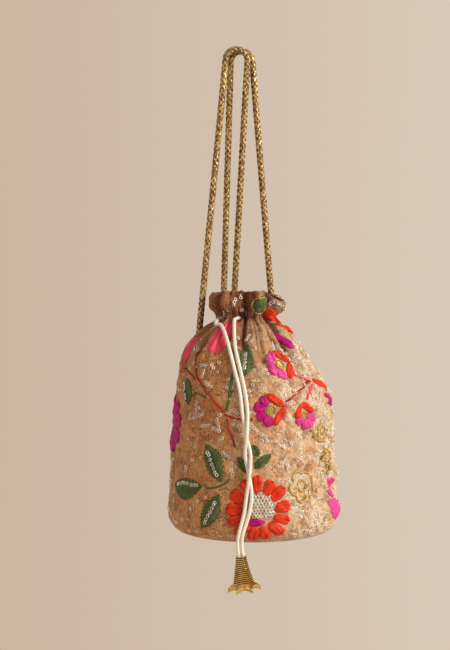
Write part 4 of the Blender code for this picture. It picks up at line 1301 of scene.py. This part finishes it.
class POUCH_OT_large_flower(bpy.types.Operator):
    """Add the large flower on the front: thirteen petals, a field of ring sequins and a magenta oval"""
    bl_idname = "pouch.large_flower"
    bl_label = "Large flower"

    AT = (272, 35.5)
    PETALS = 13
    FIRST = 9.0  # degrees
    INNER, OUTER, WIDTH = 11.6, 25.2, 9.6
    FIELD, FIELD_HALF = (3.2, 3.0), (10.2, 9.4)  # middle and half widths of the ring sequins' oval
    FIELD_FOOT = -8.0  # where it is cut off
    SPACING = 2.5  # of the ring sequins
    OVAL, OVAL_HALF, OVAL_WIDTH = (-2.0, -8.4), 7.5, 7.4  # the magenta oval

    def execute(self, context):
        bm = bmesh.new()
        for k in range(self.PETALS):
            turn = self.FIRST + 360 / self.PETALS * k
            outer = self.OUTER + 1.3 * rough(1, k) - max(math.sin(math.radians(turn)), 0)
            width = self.WIDTH + 0.8 * rough(3, k)
            petal(bm, self.AT, turn + 2.5 * rough(2, k), self.INNER, outer, width, 1.5, 0.2, k)
        add_piece("large_flower_petals", bm, "orange_thread", ["flower_large_petals"], 0.4 * MM)

        bm = bmesh.new()
        middle, half = flat_spot(self.AT, 0, *self.OVAL), self.OVAL_HALF
        petal(bm, middle, 180, -half, half, self.OVAL_WIDTH, 1.1, 0.0, 40, 2.2)
        add_piece("large_flower_oval", bm, "magenta_thread", ["flower_large_centre_foot"], 0.4 * MM)

        bm = bmesh.new()
        draw = random.Random(5)
        for row in range(-5, 6):
            for column in range(-5, 6):
                right, up = (column + 0.5 * (row % 2)) * self.SPACING, row * self.SPACING * 0.87
                inside = math.hypot(right / self.FIELD_HALF[0], up / self.FIELD_HALF[1]) < 1
                if inside and up > self.FIELD_FOOT:
                    spot = flat_spot(self.AT, 0, right + self.FIELD[0], up + self.FIELD[1])
                    ring(bm, spot, 0.98, 0.5 * MM, any_tilt(draw))
        add_piece("large_flower_sequins", bm, "silver_sequins", ["flower_large_centre_top"])
        TAKEN.append((*self.AT, 26))
        return {"FINISHED"}


class POUCH_OT_ring_flowers(bpy.types.Operator):
    """Add the small flowers: rings of short petals in two colours round a gold centre"""
    bl_idname = "pouch.ring_flowers"
    bl_label = "Ring flowers"

    # name, place, inner and outer radius, petals in the whole ring, turn, threads of the two halves
    FLOWERS = (
        ("flower_middle", (280.5, 108), 4.0, 12.4, 8, -80, ("orange_thread", "magenta_thread")),
        ("flower_upper", (297, 143), 3.8, 12.2, 8, -80, ("orange_thread", "pink_thread")),
        ("flower_right", (307.5, 103), 3.2, 10.6, 8, 10, ("orange_thread", "pink_thread")),
        ("back_small_flower", (105, 112), 4.5, 11.0, 8, 20, ("magenta_thread", "orange_thread")),
    )

    def execute(self, context):
        for seed, (name, at, inner, outer, petals, turn, halves) in enumerate(self.FLOWERS):
            for side, slot in enumerate(halves):
                bm = bmesh.new()
                long = slot == "orange_thread"
                count = petals // 4 if long else petals // 2
                width = math.tau * (inner + outer) / 2 / (2 * count) * 1.3
                for k in range(count):
                    way = turn + 180 * side + 180 / count * (k + 0.5)
                    if long:
                        self.bar(bm, at, way, inner, outer, seed + k)
                    else:
                        reach = outer + 0.7 * rough(seed, k + side)
                        petal(bm, at, way, inner, reach, width, 1.4, 0.03, k + 9 * seed, 5.0)
                node = f"{name}_petals_{'ab'[side]}"
                add_piece(f"{name}_{slot.removesuffix('_thread')}_petals", bm, slot, [node], 0.4 * MM)
            bm = bmesh.new()
            petal(bm, at, turn, 0.4 - inner, inner - 0.4, 2 * inner - 0.8, 0.4, 0.0, 60 + seed, 2.4)
            cord_on_cloth(bm, at, 0, flower_outline(inner - 0.2, 5, 0.1), 0.8, 0.8, closed=True)
            add_piece(f"{name}_eye", bm, "gold_thread", [f"{name}_centre"], 0.3 * MM)
            TAKEN.append((*at, outer + 1))
        return {"FINISHED"}

    def bar(self, bm, at, way, inner, outer, seed):
        """A long petal that lies across its half of the ring."""
        middle = (inner + outer) / 2 + 0.4
        half = middle * 0.92
        spot = flat_spot(at, way, middle, 0)
        petal(bm, spot, way + 90, -half, half, (outer - inner) * 0.86, 1.5, 0.0, seed + 70, 2.8)


class POUCH_OT_leaves(bpy.types.Operator):
    """Add the green leaves"""
    bl_idname = "pouch.leaves"
    bl_label = "Leaves"

    # node, stalk end, tip, width, bend
    LEAVES = (
        ("leaf_left_upper", (247.5, 54.5), (236, 82), 15.0, 0.0),
        ("leaf_left_middle", (233, 50), (202, 48.5), 14.5, 2.0),
        ("leaf_left_lower", (246.5, 46), (234, 20.5), 14.0, 0.0),
        ("leaf_small_right", (269.5, 64.5), (280.5, 75.5), 7.0, 0.0),
        ("leaf_small_top", (268.5, 83), (272, 73.5), 6.5, 0.0),
        ("leaf_small_left", (264, 61.5), (258.5, 73), 6.0, 0.0),
        ("leaf_upper_left", (216, 111), (209, 131), 15.0, 0.0),
        ("leaf_upper_middle", (264.5, 134), (273.5, 161), 12.0, 0.0),
        ("back_leaf_left", (122, 52), (150, 60), 13.0, 0.0),
        ("back_leaf_right", (68, 52), (44, 66), 13.0, 0.0),
        ("back_leaf_lower", (122, 44), (146, 30), 12.0, 0.0),
    )

    def execute(self, context):
        for seed, (name, stalk, tip, width, bend) in enumerate(self.LEAVES):
            bm = bmesh.new()
            leaf(bm, stalk, tip, width, bend, seed)
            add_piece(f"{name}_stitches", bm, "green_thread", [name], 0.4 * MM)
        bm = bmesh.new()
        leaf(bm, (277, 198), (312, 208), 15.0, 0.0, 30)
        add_piece("leaf_ruffle_stitches", bm, "green_thread", wall=0.4 * MM)
        bm = bmesh.new()
        turns = [math.tau * k / 24 for k in range(25)]
        rim = [(7.4 * math.cos(turn), 6.8 * math.sin(turn) * (1 - 0.2 * math.cos(turn))) for turn in turns]
        cord_on_cloth(bm, (294, 203), 24, rim, 1.5, 1.0, closed=True)
        add_piece("leaf_ruffle_rim", bm, "gold_thread", wall=0.3 * MM)
        return {"FINISHED"}


class POUCH_OT_petals(bpy.types.Operator):
    """Add the single petals at the shoulder, the neck and the sides"""
    bl_idname = "pouch.petals"
    bl_label = "Single petals"

    # node, thread, base, tip, width
    PETALS = (
        ("petal_shoulder_left", "coral_thread", (195, 141), (197, 170), 15.0),
        ("petal_shoulder_front", "coral_thread", (239, 153), (244.5, 188), 23.0),
        ("petal_shoulder_right", "magenta_thread", (315.5, 172), (322, 156.5), 6.5),
        ("petal_neck_right", "orange_thread", (326, 184), (340.5, 171), 5.5),
        ("petal_side_right_upper", "orange_thread", (321.5, 130.5), (339.5, 121.5), 7.0),
        ("petal_side_right_lower", "magenta_thread", (330.5, 118.5), (345, 108.5), 6.5),
        ("petal_foot_right", "pink_thread", (326.5, 35), (349, 27), 19.0),
    )

    # piece, thread, nodes, place, turns, inner, outer and its drop from petal to petal, width, rise, notch,
    # seed
    CLUSTERS = (
        ("petal_side_left_upper_stitches", "magenta_thread", ["petal_side_left_upper"],
         (183, 94), (8, 42, 76), 6.0, 27.0, 2.0, 13.0, 1.1, 0.1, 90),
        ("petal_side_left_lower_stitches", "magenta_thread", ["petal_side_left_lower"],
         (183, 94), (-26, -60, -94), 6.0, 27.0, 2.0, 13.0, 1.1, 0.1, 90),
        ("petal_foot_upper_stitches", "pink_thread", [],
         (333, 40), (90,), 0.0, 14.0, 0.0, 10.0, 1.0, 0.1, 98),
        ("petal_ruffle_stitches", "orange_thread", [],
         (314, 203), (-55,), 0.0, 22.0, 0.0, 9.0, 1.0, 0.05, 99),
        ("back_flower_petals_stitches", "orange_thread", ["back_flower_petals"],
         (95, 40), evenly(12), 11.0, 24.0, 0.0, 8.4, 1.2, 0.14, 120),
        ("back_flower_heart", "magenta_thread", ["back_flower_centre"],
         (95, 40), (0,), -8.6, 8.6, 0.0, 17.0, 0.9, 0.0, 140),
        ("side_flower_petals", "magenta_thread", ["side_flower"],
         (18, 84), evenly(7), 4.0, 11.2, 0.0, 7.2, 1.1, 0.06, 150),
    )
    KEPT_CLEAR = ((190, 94, 26), (333, 46, 7), (95, 40, 26), (18, 84, 12))  # added to TAKEN

    def execute(self, context):
        for seed, (name, slot, start, end, width) in enumerate(self.PETALS):
            radius = row_at((start[1] + end[1]) / 2)[1] / MM
            right, up = math.radians(end[0] - start[0]) * radius, end[1] - start[1]
            bm = bmesh.new()
            turn = math.degrees(math.atan2(up, right))
            petal(bm, start, turn, 0.0, math.hypot(right, up), width, 1.1, 0.08, seed + 80)
            add_piece(f"{name}_stitches", bm, slot, [name], 0.4 * MM)
            note_taken(start, end, width)
        for name, slot, nodes, at, turns, inner, outer, drop, width, rise, notch, seed in self.CLUSTERS:
            bm = bmesh.new()
            for k, turn in enumerate(turns):
                petal(bm, at, turn, inner, outer - drop * k, width, rise, notch, k + seed)
            add_piece(name, bm, slot, nodes, 0.4 * MM)
        TAKEN.extend(self.KEPT_CLEAR)
        return {"FINISHED"}


class POUCH_OT_gold_flowers(bpy.types.Operator):
    """Add the flowers drawn in gold thread on the right"""
    bl_idname = "pouch.gold_flowers"
    bl_label = "Gold flowers"

    FLOWERS = (("upper", (324, 91), 8.5, 6), ("middle", (329, 68), 8.5, 6), ("lower", (302, 51.5), 11.0, 5))

    def execute(self, context):
        for name, at, radius, petals in self.FLOWERS:
            bm = bmesh.new()
            cord_on_cloth(bm, at, 12, flower_outline(radius, petals), 1.9, 0.7, closed=True)
            cord_on_cloth(bm, at, 0, flower_outline(radius * 0.36, 5, 0.08), 1.6, 0.6, closed=True)
            add_piece(f"gold_flower_{name}_cord", bm, "gold_thread", [f"gold_flower_{name}"], 0.3 * MM)
        return {"FINISHED"}


class POUCH_OT_stems(bpy.types.Operator):
    """Add the stems"""
    bl_idname = "pouch.stems"
    bl_label = "Stems"

    STEMS = (
        ("stem_left_upper",
         ((220, 154), (219, 146), (222, 136), (228, 128), (234, 121), (242, 113), (248.5, 106))),
        ("stem_left_lower", ((250.5, 102.5), (252, 95), (254.5, 88), (256.5, 80.5))),
        ("stem_right", ((292, 114.5), (298.5, 117.5), (306, 122.5), (317, 128.5))),
    )
    MORE_STEMS = (
        ("stem_left_branch", "red_thread", 1.9, ((248.5, 104.5), (255.5, 102), (262, 101), (268.5, 101))),
        ("stem_far_left", "red_thread", 1.8, ((195.5, 139), (206, 137.5), (214.5, 134.5), (221.5, 131))),
        ("stem_olive", "green_thread", 2.2, ((255, 135), (253.5, 127), (251.5, 116), (250, 107.5))),
        ("stalk_left", "green_thread", 1.4, ((215, 113), (221, 118), (226, 119.5), (233.5, 116))),
        ("stalk_lower", "green_thread", 1.4, ((237, 49.5), (243, 50.5), (249, 53), (253.5, 57))),
        ("ribbon_right_upper", "coral_thread", 1.9, ((303, 136), (308, 134), (313, 132), (318.5, 129.5))),
        ("ribbon_right_lower", "coral_thread", 1.9, ((311.5, 115), (314, 118), (317.5, 122), (320, 127))),
        ("gold_crescent", "gold_thread", 2.6, ((312, 93), (316, 86), (322, 83), (329, 86))),
        ("gold_tendril", "gold_thread", 2.2, ((323, 75), (329, 72), (334, 67), (335, 60))),
    )

    def execute(self, context):
        for seed, (name, points) in enumerate(self.STEMS):
            bm = bmesh.new()
            cord_on_cloth(bm, points[0], 0, flat_route(points), 1.7, 0.9, seed=seed)
            add_piece(f"{name}_stitches", bm, "red_thread", [name], 0.3 * MM)
        for seed, (name, slot, width, points) in enumerate(self.MORE_STEMS):
            bm = bmesh.new()
            cord_on_cloth(bm, points[0], 0, flat_route(points), width, 0.8, seed=seed + 5)
            add_piece(name, bm, slot, wall=0.3 * MM)
        return {"FINISHED"}


class POUCH_OT_sequins(bpy.types.Operator):
    """Add the ring sequins: chains on the leaves and loose groups over the silk"""
    bl_idname = "pouch.sequins"
    bl_label = "Ring sequins"

    CHAINS = (
        (((244.5, 60), (241, 67), (237.5, 76)), 7),
        (((229, 50.5), (218, 51.5), (209, 49.5)), 9),
        (((244, 41), (240.5, 34), (236.5, 25)), 7),
        (((265.5, 140), (270, 152)), 6),
        (((212.5, 115), (207, 127)), 5),
        (((330.5, 46), (340, 38), (342, 28)), 3),
    )
    GROUPS = 3400
    NECK = (166, 193)  # climbs between which the gathers have none
    PITCH, LEAST_GAP = 2.75, 2.6  # mm, in a group and to any other ring
    RADIUS = 60  # mm, of the cloth where a group's steps are worked out

    def execute(self, context):
        bm = bmesh.new()
        for seed, (points, count) in enumerate(self.CHAINS):
            ring_chain(bm, points, count, seed)
        draw = random.Random(11)
        placed = []
        for _ in range(self.GROUPS):
            angle, climb = draw.uniform(180, 540), draw.uniform(14, 216)
            count = draw.choice((1, 1, 2, 3))
            way = math.radians(draw.uniform(0, 180))
            if draw.random() > self.density(angle, climb):
                continue
            for k in range(count):
                right, up = self.PITCH * k * math.cos(way), self.PITCH * k * math.sin(way)
                spot = (angle + math.degrees(right / self.RADIUS), climb + up)
                if self.is_free(spot, placed):
                    placed.append(spot)
                    tilt = any_tilt(draw)
                    ring(bm, spot, draw.uniform(0.85, 1.05), 0.15 * MM, tilt)
        add_piece("ring_sequins", bm, "silver_sequins")
        return {"FINISHED"}

    def density(self, angle, climb):
        """Share of the groups that are sewn there: most at the right, fewer at the front, few at the back."""
        right, front = math.exp(-((angle - 312) / 36) ** 2), math.exp(-((angle - 262) / 22) ** 2)
        dense = 0.22 + 0.65 * right + 0.25 * front
        if climb > self.NECK[1]:
            return 0.3 * dense
        return 0.0 if climb > self.NECK[0] else dense

    def is_free(self, spot, placed):
        def gap(other):
            turn = (spot[0] - other[0] + 180) % 360 - 180
            return math.hypot(math.radians(turn) * GIRTH, spot[1] - other[1])
        if any(gap(other) < other[2] + 0.6 for other in TAKEN):
            return False
        return all(gap(other) > self.LEAST_GAP for other in placed)


class POUCH_PT_panel(bpy.types.Panel):
    """Lists the pieces of the pouch in the order that they are made"""
    bl_idname = "POUCH_PT_panel"
    bl_label = "Drawstring Pouch"
    bl_space_type = "VIEW_3D"
    bl_region_type = "UI"
    bl_category = "Pouch"

    def draw(self, context):
        layout = self.layout
        for settings in GROUPS:
            box = layout.box()
            for name in settings[1].__annotations__:
                box.prop(getattr(context.scene, settings[0]), name)
        for operator in OPERATORS:
            layout.operator(operator.bl_idname)


GROUPS = (
    ("pouch_cloth", PouchCloth),
    ("pouch_threads", PouchThreads),
    ("pouch_cords", PouchCords),
    ("pouch_stage", PouchStage),
)
OPERATORS = (
    POUCH_OT_stage,
    POUCH_OT_bell,
    POUCH_OT_handles,
    POUCH_OT_drawstring,
    POUCH_OT_cloth,
    POUCH_OT_lining,
    POUCH_OT_large_flower,
    POUCH_OT_ring_flowers,
    POUCH_OT_leaves,
    POUCH_OT_petals,
    POUCH_OT_gold_flowers,
    POUCH_OT_stems,
    POUCH_OT_sequins,
)


def register():
    for name, group in GROUPS:
        bpy.utils.register_class(group)
        setattr(bpy.types.Scene, name, bpy.props.PointerProperty(type=group))
    for operator in OPERATORS:
        bpy.utils.register_class(operator)
    bpy.utils.register_class(POUCH_PT_panel)


def unregister():
    bpy.utils.unregister_class(POUCH_PT_panel)
    for operator in reversed(OPERATORS):
        bpy.utils.unregister_class(operator)
    for name, group in reversed(GROUPS):
        delattr(bpy.types.Scene, name)
        bpy.utils.unregister_class(group)


def main():
    register()
    for operator in OPERATORS:
        group, name = operator.bl_idname.split(".")
        getattr(getattr(bpy.ops, group), name)()


if __name__ == "__main__":
    main()
